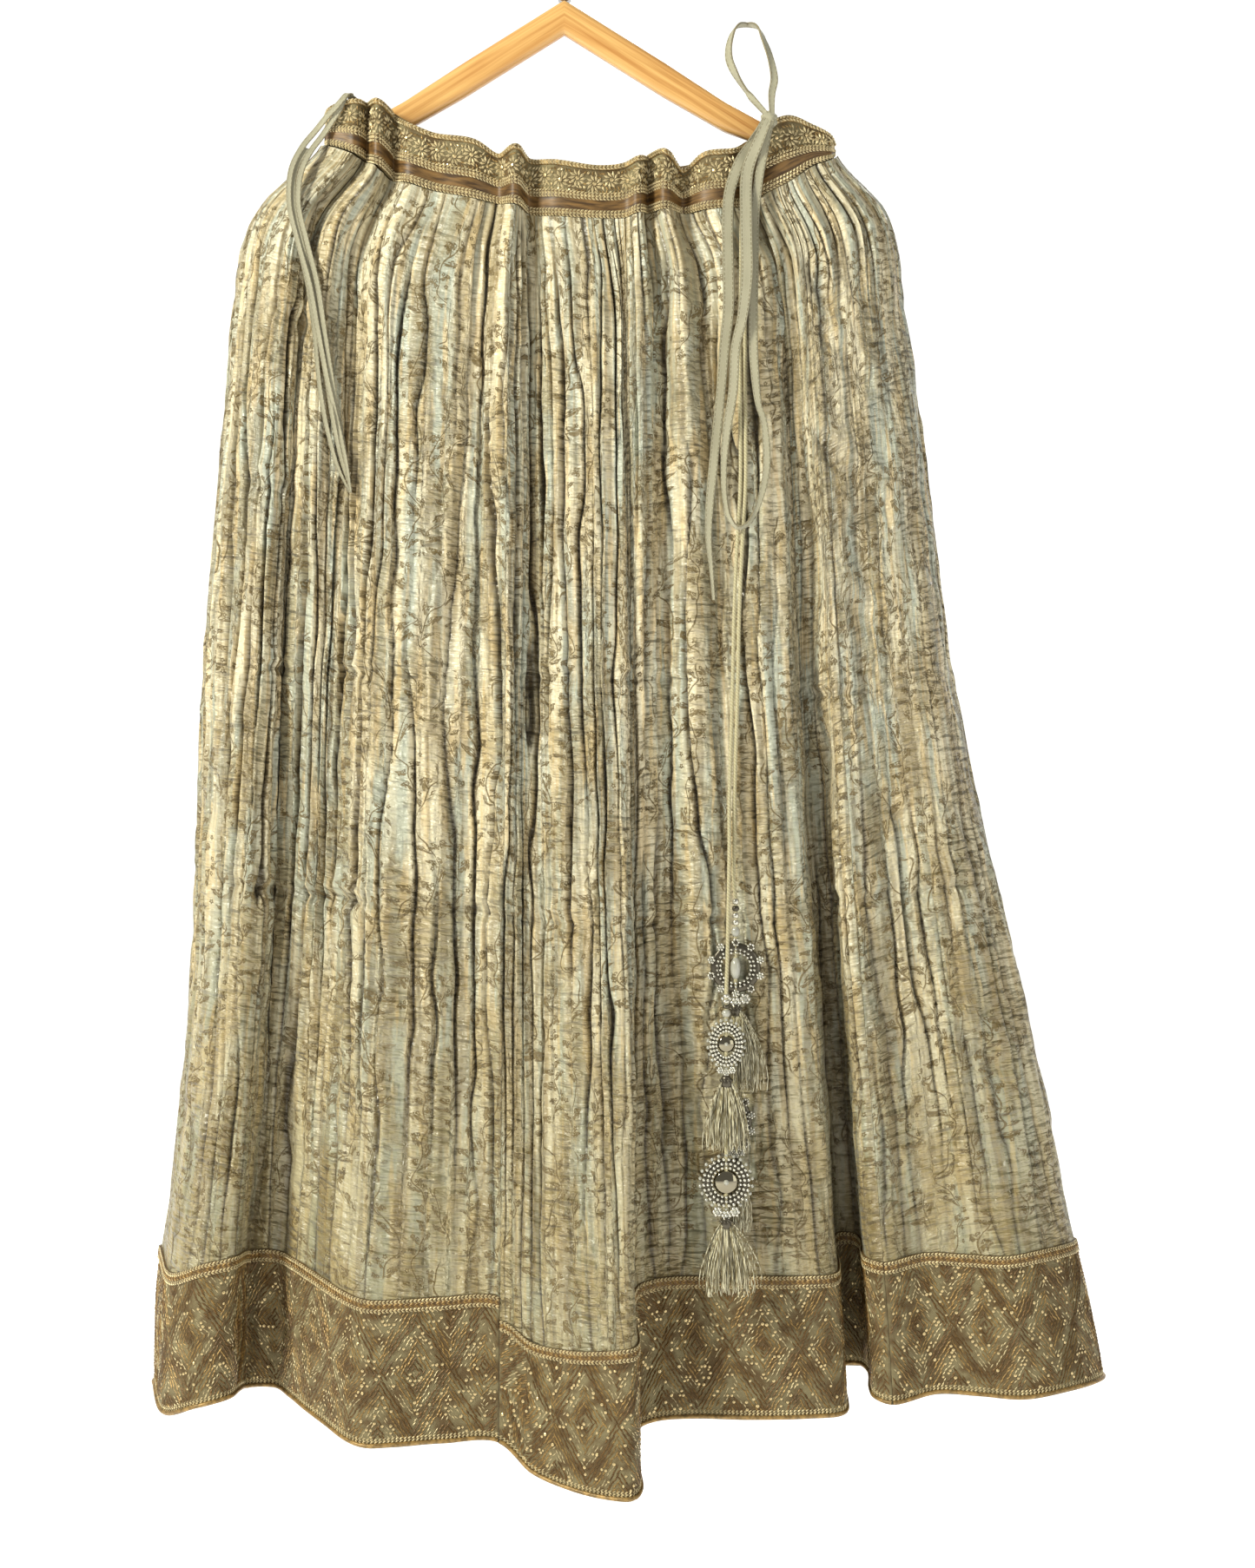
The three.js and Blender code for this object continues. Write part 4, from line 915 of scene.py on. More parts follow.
def plain(name, rgb, roughness, **own):
    """A smooth finish of one colour, for small hard pieces."""
    return Paint(name, colour(*rgb), roughness, **own).material


def brown_satin():
    """Smooth brown satin with a sheen drawn out along its length."""
    paint = Paint("brown_satin", colour(92, 66, 34), 0.5)
    across, down = paint.flat_cloth()
    sheen = paint.noise(paint.vector(across * 60, down * 400), 1.0, 2.0)
    paint.set("Base Color", paint.mix(tone(70, 50, 26), tone(128, 96, 54), sheen.over(0.5, 0.3)))
    paint.bump(sheen, 0.0006, 0.6)
    return paint.material


def tie_cloth():
    """Folded satin strip with a line of stitches near both its edges."""
    paint = Paint("tie_cloth", colour(190, 183, 152), 0.55, Sheen_Weight=0.3)
    along, across = paint.flat_cloth()
    weave = (along * 4200).sin() * (across * 4200).sin()
    soft = paint.noise(paint.vector(along * 40, across * 300), 1.0, 3.0)
    edge = (across.share() - 0.5).size()
    stitch = edge.math("COMPARE", 0.35, 0.04) * (along * 260).share().under(0.62, 0.1)
    stitch = stitch.most(edge.over(0.44, 0.03))
    base = paint.mix(tone(168, 160, 128), tone(206, 200, 172), soft.over(0.5, 0.3))
    paint.set("Base Color", paint.mix(base, tone(120, 106, 70), stitch * 0.75))
    paint.bump(soft + weave * 0.08 - stitch * 0.5, 0.0008, 0.7)
    return paint.material


def cord_finish():
    """Satin cord with a faint twist."""
    paint = Paint("satin_cord", colour(186, 176, 142), 0.5, Sheen_Weight=0.3)
    x, _, z = paint.parts(paint.in_space())
    twist = ((z + x * 0.8) * 2400).sin()
    paint.set("Base Color", paint.mix(tone(170, 159, 120), tone(196, 186, 148), twist * 0.5 + 0.5))
    paint.bump(twist, 0.0002, 0.4)
    return paint.material


def floss_finish():
    """Silky floss, light and dark from strand to strand."""
    paint = Paint("silky_floss", colour(182, 168, 118), 0.36, Sheen_Weight=0.3)
    x, y, z = paint.parts(paint.in_space())
    uneven = paint.noise(paint.vector(x * 1300, y * 1300, z * 90), 1.0, 1.0)
    paint.set("Base Color", paint.mix(tone(122, 108, 66), tone(246, 238, 204),
                                      uneven.over(0.52, 0.16)))
    return paint.material


def wood_finish():
    """Varnished wood whose grain follows the arms' slope."""
    paint = Paint("varnished_wood", colour(214, 160, 92), 0.32, Coat_Weight=0.5,
                  Coat_Roughness=0.15)
    x, y, z = paint.parts(paint.in_space())
    across = z + x.size() * 0.62
    grain = paint.noise(paint.vector(x * 9, y * 90, across * 240), 1.0, 4.0, 0.6)
    paint.set("Base Color", paint.mix(tone(188, 128, 66), tone(232, 182, 112),
                                      grain.over(0.5, 0.35)))
    paint.bump(grain, 0.0004, 0.3)
    return paint.material


SATIN = satin_finish()
GROUND = embroidered_ground()
GOLD_THREAD = thread("gold_thread", (144, 116, 70), 0.42, 0.35, 1.45)
BROWN_THREAD = thread("brown_thread", (104, 78, 42), 0.5, 0.25, 1.35)
PALE_THREAD = thread("pale_thread", (196, 178, 136), 0.42, 0.3, 1.25)
SEQUIN = plain("gold_sequin", (206, 182, 134), 0.3, Metallic=0.75)
BROWN = brown_satin()
TIE = tie_cloth()
CORD_SATIN = cord_finish()
FLOSS = floss_finish()
SILVER = plain("silver_bead", (216, 212, 198), 0.25, Metallic=0.8)
DARK_BEAD = plain("dark_bead", (92, 86, 74), 0.25, Metallic=0.6)
CRYSTAL = plain("clear_bead", (176, 174, 160), 0.08, Specular_IOR_Level=0.9, Coat_Weight=0.8)
MIRROR = plain("small_mirror", (150, 142, 122), 0.06, Metallic=1.0)
WOOD = wood_finish()
CHROME = plain("hook_wire", (190, 190, 192), 0.16, Metallic=1.0)

# Where a panel's rows lie closer together because it is creased across: place and width
CLOSE_ROWS = ((0.5, 0.035), (0.71, 0.04))
CLOSER = 1.3
# The pleats run out over this last share of a panel, so that it meets its border
RUN_OUT = 0.04
# How much lighter a place becomes for each metre that a crease lifts it
CREASE_SHADE = 60

# Points of the cloth in front, which the ties are laid on
front_points = []


# Panels of pleated satin
def cloth_map(pick, down):
    """Flat-cloth places: across, with the cloth in the pleats unfolded, and down."""
    middle = np.full(len(pick), 0.6)
    line = skirt.point(pick, middle)
    across = lengths(line)
    return np.stack(np.broadcast_arrays(across[None], down * skirt.drop[pick]), -1)


def cloth_rows():
    """Shares of a panel's height, closer together where it is creased across."""
    fine = np.linspace(0, 1, 600)
    near = sum(np.exp(-((fine - spot) / width) ** 2) for spot, width in CLOSE_ROWS)
    closer = 1 + CLOSER * near
    total = np.cumsum(closer)
    total = (total - total[0]) / (total[-1] - total[0])
    return np.interp(np.linspace(0, 1, CLOTH_ROWS), total, fine)[:, None]


def panel_piece(panel):
    """One panel of pleated satin, from the waistband down to its border."""
    pick = panel_columns(panel)
    low = down_at(pick, border_depth(panel, pick))
    rows = cloth_rows()
    down = rows * low[None]
    face, space = skirt.face(pick, down, PLEATED_REACH)
    height, level = skirt.relief(pick, down, space * COLUMNS_PER_PLEAT)
    height = height * np.clip((1 - rows) / RUN_OUT, 0, 1)
    points = skirt.base(pick, down) + face * height[..., None]
    points, moved = creased(points, face, skirt.side[pick])
    level = np.clip(level + CREASE_SHADE * moved, 0, 1)
    points = draw_in(points, SEAM_GAP / 2)
    front_points.append(points[:, skirt.side[pick] < 0].reshape(-1, 3))
    number = np.broadcast_to(skirt.pleat[pick], down.shape)
    # The pleat map carries each place's painted light and shade, and its pleat's number
    maps = [("cloth", cloth_map(pick, down).reshape(-1, 2)),
            ("pleat", np.stack([level, number], -1).reshape(-1, 2))]
    faces = grid_faces(*down.shape)
    piece = make_mesh("panel_" + panel, points.reshape(-1, 3), faces, SATIN, maps)
    place(piece, "satin", "skirt_" + panel)


# Trims that are laid on: a stitch lies along and stands up as a small roof, a sequin is a
# shallow six-sided cone
STITCH = np.array([(-0.5, 0, 0), (0, -0.5, 0), (0.5, 0, 0), (0, 0.5, 0), (0, 0, 0.45)])
STITCH_FACES = np.array([(0, 1, 4), (1, 2, 4), (2, 3, 4), (3, 0, 4)])
SIXTHS = np.arange(6) * math.pi / 3
DISC = np.vstack([[(0, 0, 0.16)], np.stack([np.cos(SIXTHS) / 2, np.sin(SIXTHS) / 2,
                                            0 * SIXTHS + 0.02], 1)])
DISC_FACES = np.array([(0, 1 + k, 1 + (k + 1) % 6) for k in range(6)])
STITCH_LIFT = 0.0002
SEQUIN_LIFT = 0.0005
SEQUIN_LEAN = 0.5


def stitches(name, surface, far, share, angle, long, wide, finish):
    """Satin stitches of one length and width, turned by their angles."""
    template = STITCH * (long, wide, wide)
    return scatter(name, surface, far, share, STITCH_LIFT, template, STITCH_FACES, angle, 1.0,
                   finish)


def sequins(name, surface, far, share, size):
    """Sequins that lean each its own way."""
    turn = noise(far * 900, share * 90, 21) * 2 * math.pi
    return scatter(name, surface, far, share, SEQUIN_LIFT, DISC, DISC_FACES, turn, size, SEQUIN,
                   SEQUIN_LEAN)


def chain(name, surface, share, pitch, long, wide, finish):
    """A chain-stitched line: two slanting stitches to each link."""
    count = int(surface.length / pitch)
    far = (np.arange(count) + 0.5) * surface.length / count
    far = np.concatenate([far, far])
    slant = np.repeat([0.5, -0.5], count)
    share = share + slant * wide * 1.1 / surface_height(surface)
    return stitches(name, surface, far, share, slant, long, wide, finish)


def surface_height(surface):
    """How high a surface is at its middle."""
    middle = surface.points.shape[1] // 2
    return lengths(surface.points[:, middle])[-1]


def shell(name, outer, thick, finish, maps):
    """A cloth piece with both its faces and its edges."""
    surface = Surface(outer)
    inner = outer - surface.out * thick
    points = np.concatenate([outer, inner[::-1]])
    rows, count = len(points), outer.shape[1]
    around = np.concatenate([points, points[:1]])
    faces = grid_faces(rows + 1, count) % (rows * count)
    step = np.arange(len(outer) - 1)
    ends = np.stack([step, step + 1, rows - 2 - step, rows - 1 - step], 1) * count
    faces = np.vstack([faces, ends[:, ::-1], ends + count - 1])
    uv = np.concatenate([maps, maps[::-1]]).reshape(-1, 2)
    piece = make_mesh(name, around[:-1].reshape(-1, 3), faces, finish, [("cloth", uv)])
    return piece, surface


def flat_map(points):
    """Flat places of a smooth piece: along it and down it."""
    far = lengths(points[len(points) // 2])
    down = lengths(points[:, points.shape[1] // 2])
    return np.stack(np.broadcast_arrays(far[None], down[:, None]), -1)


DIAMOND = 0.054
GRAIN = 0.0035
ROW = GRAIN * 0.8
RINGS = 3.6
RING_WANDER = 1.1
SLANT = 0.95
# Glints above these are sequins, in the pale rings and anywhere
RING_SEQUINS = 0.68
STRAY_SEQUINS = 0.84
# Kind of ring, stitches' title and thread, their length and width, and how full the ring is
BORDER_STITCHES = (
    (0, "brown", BROWN_THREAD, 0.0058, 0.0016, 0.85),
    (1, "gold", GOLD_THREAD, 0.0054, 0.0014, 0.85),
    (2, "pale", PALE_THREAD, 0.0042, 0.0011, 0.45),
)
# The border's embroidered part, as shares of its height, between its hem and its braid
BORDER_LOW = 0.075
BORDER_HIGH = 1 - 0.0095 / 0.114


def embroidery(name, surface, low, high, seed):
    """The border's diamonds: rings of slanting stitches, and of sequins between them."""
    height = surface_height(surface)
    across = np.arange(int(surface.length / GRAIN)) * GRAIN + GRAIN / 2
    up = np.arange(low * height, high * height, ROW)
    far, rise = np.meshgrid(across, up)
    odd = (np.round((rise - up[0]) / ROW) % 2) * GRAIN / 2
    far = far + odd + GRAIN * 0.5 * (noise(far * 700, rise * 700, seed) - 0.5)
    rise = rise + GRAIN * 0.4 * (noise(far * 500, rise * 900, seed + 1) - 0.5)
    far, rise = far.ravel(), rise.ravel()
    keep = (far > 0.002) & (far < surface.length - 0.002)
    far, rise = far[keep], rise[keep]
    share = rise / height
    middle = (low + high) / 2 * height
    reach = (high - low) / 2 * height
    left = (far / DIAMOND) % 1 - 0.5
    above = (rise - middle) / reach
    ring = (np.abs(left) * 2 + np.abs(above)) * RINGS
    ring = ring + RING_WANDER * (noise(far * 85, rise * 85, seed + 5) - 0.5)
    kind = np.floor(ring).astype(int) % 3
    worn = noise(far * 260, rise * 260, seed + 2)
    slant = np.sign(left * above) * -SLANT + 0.5 * (worn - 0.5)
    pieces = []
    glint = noise(far * 610, rise * 610, seed + 4)
    for mark, title, finish, long, wide, full in BORDER_STITCHES:
        chosen = (kind == mark) & (glint < full)
        pieces.append(stitches(f"{name}_{title}_stitches", surface, far[chosen], share[chosen],
                               slant[chosen], long, wide, finish))
    chosen = ((kind == 2) & (glint >= RING_SEQUINS)) | (glint >= STRAY_SEQUINS)
    size = 0.0019 + 0.0011 * noise(far[chosen] * 800, rise[chosen] * 800, seed + 3)
    pieces.append(sequins(f"{name}_sequins", surface, far[chosen], share[chosen], size))
    return pieces


# Shares of the border's height: the chain stitches above the hem, and the braid's upper edge
HEM_CHAINS = (0.036, 0.056)
BRAID_TOP = 0.998


def border_piece(panel, seed):
    """The border under one panel, embroidered, with its braid, its hem's cord and chains."""
    pick = panel_columns(panel)[::2]
    depth = border_depth(panel, pick)
    top = down_at(pick, depth - SEAM_GAP)
    rows = np.linspace(0, 1, BORDER_ROWS)[:, None]
    down = top[None] + (1 - top[None]) * rows
    ripple = 0.0007 * (noise(skirt.pleat[pick] * 0.9 + 0 * down, down * 30, 31) - 0.5)
    outer = draw_in(skirt.point(pick, down, BAND_PROUD + ripple, pleated=False), SEAM_GAP / 2)
    front_points.append(outer[:, skirt.side[pick] < 0].reshape(-1, 3))
    piece, surface = shell("border_cloth_" + panel, outer, BORDER_THICK, GROUND, flat_map(outer))
    height = surface_height(surface)
    laid = embroidery("border_" + panel, surface, BORDER_LOW, BORDER_HIGH, seed)
    place(piece, "border_cloth", "border_" + panel)
    for part in laid:
        place(part, "border_cloth")

    edge = 1 - BRAID_HEIGHT / height
    far = np.linspace(0, surface.length, outer.shape[1])
    braid = raised_strip("border_braid_cloth_" + panel, surface, far, edge, BRAID_TOP,
                         BROWN_THREAD)
    place(braid, "braid", "border_braid_" + panel)
    for title, share, link, long, wide, finish in (
            ("low", edge + 0.006, 0.0031, 0.0038, 0.0015, PALE_THREAD),
            ("high", 0.985, 0.0031, 0.0038, 0.0015, PALE_THREAD),
            ("middle", (edge + BRAID_TOP) / 2, 0.0042, 0.0046, 0.0017, GOLD_THREAD)):
        place(chain(f"border_braid_{panel}_{title}", surface_lifted(surface), share, link, long,
                    wide, finish), "braid")
    place(hem_piping(panel, surface), "piping", "hem_piping_" + panel)
    for share in HEM_CHAINS:
        place(chain(f"hem_stitches_{panel}_{int(share * 1000)}", surface, share, 0.0032, 0.0036,
                    0.0013, PALE_THREAD), "piping")


def surface_lifted(surface, lift=BRAID_PROUD):
    """The face of a braid that lies on a surface."""
    return Surface(surface.points + surface.out * lift)


BRAID_LINES = 7


def raised_strip(name, surface, far, low, high, finish, proud=BRAID_PROUD):
    """A flat braid with rolled edges, laid along a surface between two heights."""
    shares = low + (high - low) * (1 - np.cos(np.linspace(0, math.pi, BRAID_LINES))) / 2
    lift = proud * np.minimum(1, np.sin(np.linspace(0.08, math.pi - 0.08, BRAID_LINES)) * 1.8)
    rows = []
    for share, rise in zip(shares[::-1], lift):
        points, out, _ = surface.at(far, np.full(len(far), share))
        rows.append(points + out * rise)
    grid = np.array(rows)
    return make_mesh(name, grid.reshape(-1, 3), grid_faces(*grid.shape[:2]), finish,
                     [("cloth", flat_map(grid).reshape(-1, 2))])


PIPING_RADIUS = 0.0017
PIPING_STEP = 0.004
PIPING_SHARE = 0.018
PIPING_TWIST = 1500


def hem_piping(panel, surface):
    """A twisted cord sewn along the hem."""
    count = int(surface.length / PIPING_STEP)
    far = np.linspace(0.0004, surface.length - 0.0004, count)
    points, out, along = surface.at(far, np.full(count, PIPING_SHARE))
    up = np.cross(out, along)
    turns = np.arange(8) * math.pi / 4
    radius = PIPING_RADIUS * (1 + 0.12 * np.cos(far[:, None] * PIPING_TWIST + turns))
    centre = points + out * 0.0006
    rings = (centre[:, None] + out[:, None] * (radius * np.cos(turns))[..., None]
             + up[:, None] * (radius * np.sin(turns))[..., None])
    return make_mesh("hem_cord_" + panel, rings.reshape(-1, 3),
                     grid_faces(count, 8, closed=True), GOLD_THREAD)


# Waistband: embroidered band, chain-stitched edge, and a brown stripe between chains
ROSETTE_SPACE = 0.0136
ROSETTE_RADIUS = 0.0047
ROSETTE_ROOM = 0.0068
BAND_GRAIN = 0.003
BAND_EDGE = 0.0045
EDGING_HEIGHT = 0.0042
STRIPE_CHAINS = (0.07, 0.2, 0.8, 0.93)
CHAIN = (0.003, 0.004, 0.0018, PALE_THREAD)
# How far the trim on the waistband stands in front of the waist's line
BAND_FACE = 0.002


def band_surface(waist):
    """The waistband's outer face, a little uneven, from its upper edge down."""
    count = len(waist.low)
    face = np.gradient(waist.low[:, :2], axis=0)
    out = np.stack([face[:, 1], -face[:, 0], np.zeros(count)], 1)
    out /= np.linalg.norm(out, axis=1, keepdims=True)
    out = np.stack([smooth(out[:, k], 2) for k in range(3)], 1)
    rows = np.linspace(0, 1, 13)[:, None, None]
    points = waist.high[None] * (1 - rows) + waist.low[None] * rows
    far = lengths(waist.low[:, :2])
    puff = 0.0008 * (noise(far[None] * 70, rows[..., 0] * 4, 41) - 0.5)
    points = points + out[None] * (BAND_PROUD + puff[..., None])
    side = math.copysign(SEAM_GAP / 2, waist.low[count // 2, 1])
    points[:, (0, -1), 1] += side
    return points


def rosettes(name, surface, low, high):
    """Embroidered flowers in two staggered rows, each round a sequin."""
    height = surface_height(surface)
    count = int(surface.length / ROSETTE_SPACE)
    far = (np.arange(count) + 0.5) * surface.length / count
    rise = low + (high - low) * np.where(np.arange(count) % 2, 0.42, 0.58)
    turns = np.arange(10) * math.pi / 5
    petal_far = (far[:, None] + ROSETTE_RADIUS * np.cos(turns)).ravel()
    petal_rise = (rise[:, None] + ROSETTE_RADIUS * np.sin(turns) / height).ravel()
    angle = np.tile(turns, count) + 0.3
    keep = (petal_far > 0.001) & (petal_far < surface.length - 0.001)
    leaves = stitches(name + "_petals", surface, petal_far[keep], petal_rise[keep], angle[keep],
                      0.0058, 0.0024, PALE_THREAD)
    hearts = sequins(name + "_hearts", surface, far, rise, 0.0036)
    return far, rise, [leaves, hearts]


def band_fill(name, surface, low, high, far_flowers, rise_flowers):
    """Sequins, leaves and scrolls between the waistband's flowers."""
    height = surface_height(surface)
    across = np.arange(0.0015, surface.length - 0.001, BAND_GRAIN)
    up = np.arange(low * height + 0.001, high * height, BAND_GRAIN)
    far, rise = np.meshgrid(across, up)
    far = (far + 0.0012 * (noise(far * 900, rise * 900, 51) - 0.5)).ravel()
    rise = rise.ravel()
    apart = np.hypot(far[:, None] - far_flowers[None],
                     rise[:, None] - rise_flowers[None] * height).min(1)
    free = apart > ROSETTE_ROOM
    kind = noise(far * 333, rise * 333, 52)
    bright = free & (kind > 0.74)
    pale = free & (kind > 0.45) & (kind <= 0.74)
    dull = free & (kind <= 0.45)
    angle = noise(far * 120, rise * 120, 53) * 6
    return [sequins(name + "_sequins", surface, far[bright], rise[bright] / height, 0.0023),
            stitches(name + "_leaves", surface, far[pale], rise[pale] / height, angle[pale],
                     0.0042, 0.0018, PALE_THREAD),
            stitches(name + "_scrolls", surface, far[dull], rise[dull] / height, angle[dull],
                     0.0042, 0.0015, GOLD_THREAD)]


def waistband(title, waist):
    """One half of the waistband with its embroidery, edging and stripe."""
    points = band_surface(waist)
    piece, surface = shell("waistband_cloth_" + title, points, BAND_THICK, GROUND,
                           flat_map(points))
    if waist is waist_front:
        heights = np.arange(0, 0.13, 0.006)
        front_points.extend(waist.low - (0, BAND_FACE, -rise) for rise in heights)
    height = surface_height(surface)
    stripe = min(0.9 * (height - 0.004), STRIPE_HEIGHT) / height
    low, high = stripe, 1 - BAND_EDGE / height
    far, rise, laid = rosettes("band_" + title, surface, low, high)
    laid += band_fill("band_" + title, surface, low, high, far, rise)
    place(piece, "band_embroidery", "waistband_" + title)
    for part in laid:
        place(part, "band_embroidery")

    along = np.linspace(0, surface.length, 260)
    edging = raised_strip("waist_edge_" + title, surface, along, 1 - EDGING_HEIGHT / height,
                          0.999, GOLD_THREAD)
    place(edging, "braid", "waist_edging_" + title)
    place(chain("waist_edge_chain_" + title, surface_lifted(surface),
                1 - EDGING_HEIGHT / 2 / height, *CHAIN), "braid")
    satin = raised_strip("brown_stripe_" + title, surface, along, 0.002, stripe, BROWN,
                         STRIPE_PROUD)
    place(satin, "brown_satin", "waist_stripe_" + title)
    for k, share in enumerate(STRIPE_CHAINS):
        place(chain(f"stripe_chain_{title}_{k + 1}", surface_lifted(surface, STRIPE_PROUD),
                    share * stripe, *CHAIN), "brown_satin")


def rounded_strip(name, centres, width, thick, finish, across):
    """A flat tape swept along its centres, its edges rounded and stitched."""
    count = len(centres)
    course = np.gradient(centres, axis=0)
    course /= np.linalg.norm(course, axis=1, keepdims=True)
    across = across - course * np.sum(across * course, axis=1, keepdims=True)
    across /= np.linalg.norm(across, axis=1, keepdims=True)
    face = np.cross(course, across)
    corner = table("wide high", [
        (-1, 0.5), (-0.9, 1.1), (-0.72, 0.75), (0, 0.85), (0.72, 0.75), (0.9, 1.1), (1, 0.5),
        (1, -0.5), (0.9, -1.1), (0.72, -0.75), (0, -0.85), (-0.72, -0.75), (-0.9, -1.1),
        (-1, -0.5)])
    wide = width[:, None] / 2 * corner["wide"]
    high = thick / 2 * corner["high"] + 0 * wide
    ripple = 0.0003 * (noise(np.arange(count)[:, None] * 0.35, corner["wide"] * 2, 61) - 0.5)
    rings = (centres[:, None] + across[:, None] * wide[..., None]
             + face[:, None] * (high + ripple)[..., None])
    sides = rings.shape[1]
    far = lengths(centres)
    uv = np.stack(np.broadcast_arrays(far[:, None], (corner["wide"] + 1) / 2 * 0.998), -1)
    return make_mesh(name, rings.reshape(-1, 3), grid_faces(count, sides, closed=True), finish,
                     [("cloth", uv.reshape(-1, 2))])


# Ties: how near the cloth is looked for behind them, and how thick and wide they are
NEAR_X = 0.008
NEAR_Z = 0.016
TAPE = 0.0015
TIE_WIDTH = 0.82

# The looped tape's two lengths: how often they cross, and how far apart they go
CROSSINGS = 7.2
CROSS_START = 0.5
ASIDE = 0.4
OVER_LIFT = 0.0009
LENGTH_WIDTH = 0.46
LENGTH_THICK = 0.8


def tie_line(rows):
    """A tie's centres, its widths and the way its width points."""
    cloth = np.vstack(front_points)
    depth = []
    for x, z, lift in zip(rows["x"], rows["z"], rows["lift"]):
        near = (np.abs(cloth[:, 0] - x) < NEAR_X) & (np.abs(cloth[:, 2] - z) < NEAR_Z)
        depth.append(cloth[near, 1].min() - lift)
    knots = np.stack([rows["x"], depth, rows["z"]], 1)
    shares = np.linspace(0, 1, 8 * len(knots))
    centres = curve(knots, shares)
    spots = shares * (len(knots) - 1)
    index = np.arange(len(knots))
    slant, turn = (np.radians(np.interp(spots, index, rows[k])) for k in ("slant", "turn"))
    across = np.stack([np.cos(slant) * np.cos(turn), -np.sin(turn),
                       np.sin(slant) * np.cos(turn)], 1)
    return centres, np.interp(spots, index, rows["width"]), across


def tie(name, rows, *nodes):
    """A tie, or one length of it, from the knot to its end."""
    centres, width, across = tie_line(rows)
    width = width * TIE_WIDTH
    piece = rounded_strip(name, centres, width, TAPE, TIE, across)
    place(piece, "tie_cloth", *nodes)


def looped_tape(name, rows, node):
    """The hanging tape: a loop whose two lengths cross as they hang."""
    centres, width, across = tie_line(rows)
    share = np.linspace(0, 1, len(centres))[:, None]
    phase = share * CROSSINGS + CROSS_START
    course = np.gradient(centres, axis=0)
    course /= np.linalg.norm(course, axis=1, keepdims=True)
    face = np.cross(course, across)
    face *= -np.sign(face[:, 1:2])
    for k, title in ((1, "over"), (-1, "under")):
        aside = k * ASIDE * np.cos(phase) * np.minimum(1, 5 * (1 - share))
        lift = k * OVER_LIFT * np.abs(np.sin(phase))
        line = centres + across * width[:, None] * aside + face * lift
        narrow = width * LENGTH_WIDTH
        piece = rounded_strip(f"{name}_{title}", line, narrow, TAPE * LENGTH_THICK, TIE, across)
        place(piece, "tie_cloth", *([node] if k > 0 else []))


def round_form(rings, sides):
    """Points and faces of a turned form: rings are (radius, height) from its foot up."""
    turns = np.arange(sides) * 2 * math.pi / sides
    rings = np.asarray(rings, float)
    points = np.stack([rings[:, :1] * np.cos(turns), rings[:, :1] * np.sin(turns),
                       rings[:, 1:] + 0 * turns], -1).reshape(-1, 3)
    faces = grid_faces(len(rings), sides, closed=True)[:, ::-1]
    return points, faces


def ball(radius, rings=7, sides=10, tall=1.0):
    """A bead, taller or flatter than round by tall."""
    around = np.linspace(0.001, math.pi - 0.001, rings)
    return round_form(np.stack([radius * np.sin(around), -radius * tall * np.cos(around)], 1),
                      sides)


class Heap:
    """Small forms gathered into one mesh."""

    def __init__(self):
        self.points, self.faces, self.count = [], [], 0

    def add(self, form, move=(0, 0, 0)):
        points, faces = form
        self.points.append(points + np.array(move, float))
        self.faces.append(faces + self.count)
        self.count += len(points)

    def piece(self, name, finish):
        return make_mesh(name, np.vstack(self.points), np.vstack(self.faces), finish)


KNOT = (0.163, -0.0338, -0.17)
KNOT_RADIUS = 0.0066
KNOT_HEIGHT = 0.0135
KNOT_SIDES = 24
KNOT_ROWS = 15
WRAP = 0.0007


def knot_piece():
    """The ties' knot: a wrapped, creased lump of the same cloth."""
    turns = np.arange(KNOT_SIDES) * 2 * math.pi / KNOT_SIDES
    up = np.linspace(0, math.pi, KNOT_ROWS)
    grid_up, grid_turn = np.meshgrid(up, turns, indexing="ij")
    wrap = WRAP * np.sin(grid_up * 7 + np.cos(grid_turn) * 1.6) * np.sin(grid_up)
    radius = KNOT_RADIUS * np.sin(grid_up) ** 0.7 + wrap
    points = np.stack([KNOT[0] + radius * np.sin(grid_turn),
                       KNOT[1] - radius * np.cos(grid_turn),
                       KNOT[2] - KNOT_HEIGHT / 2 * np.cos(grid_up)], -1)
    uv = np.stack([grid_turn * KNOT_RADIUS, grid_up / math.pi * 0.9], -1).reshape(-1, 2)
    faces = grid_faces(KNOT_ROWS, KNOT_SIDES, closed=True)
    place(make_mesh("tie_knot", points.reshape(-1, 3), faces, TIE, [("cloth", uv)]), "tie_cloth")


# Cords and their ornaments
NEAR_LINE = (0.135, -0.068)
FAR_LINE = (0.127, -0.084)
# Beads on the cords: radius, and share of the string's height
ROUND_BEAD = (0.0029, 2.1)
CLEAR_BEAD = (0.0036, 3.4)


def cord_piece(name, rows, line, last_tassel):
    """A cord as one open line, from under the knot into its last tassel's cap."""
    route = np.stack([rows["x"], rows["y"], rows["z"]], 1)
    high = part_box(last_tassel)[1]
    points = curve(route, np.linspace(0, 1, 90))
    end = np.array([[*line, points[-1, 2] - 0.01], [*line, high.z - 0.012]])
    points = np.vstack([points, end])
    data = bpy.data.curves.new(name, "CURVE")
    data.dimensions = "3D"
    data.bevel_depth = CORD / 2
    data.bevel_resolution = 3
    data.use_fill_caps = True
    spline = data.splines.new("POLY")
    spline.points.add(len(points) - 1)
    spline.points.foreach_set("co", np.hstack([points, np.ones((len(points), 1))]).ravel())
    piece = bpy.data.objects.new(name, data)
    bpy.context.scene.collection.objects.link(piece)
    data.materials.append(CORD_SATIN)
    return piece, route[0], float(lengths(points)[-1])


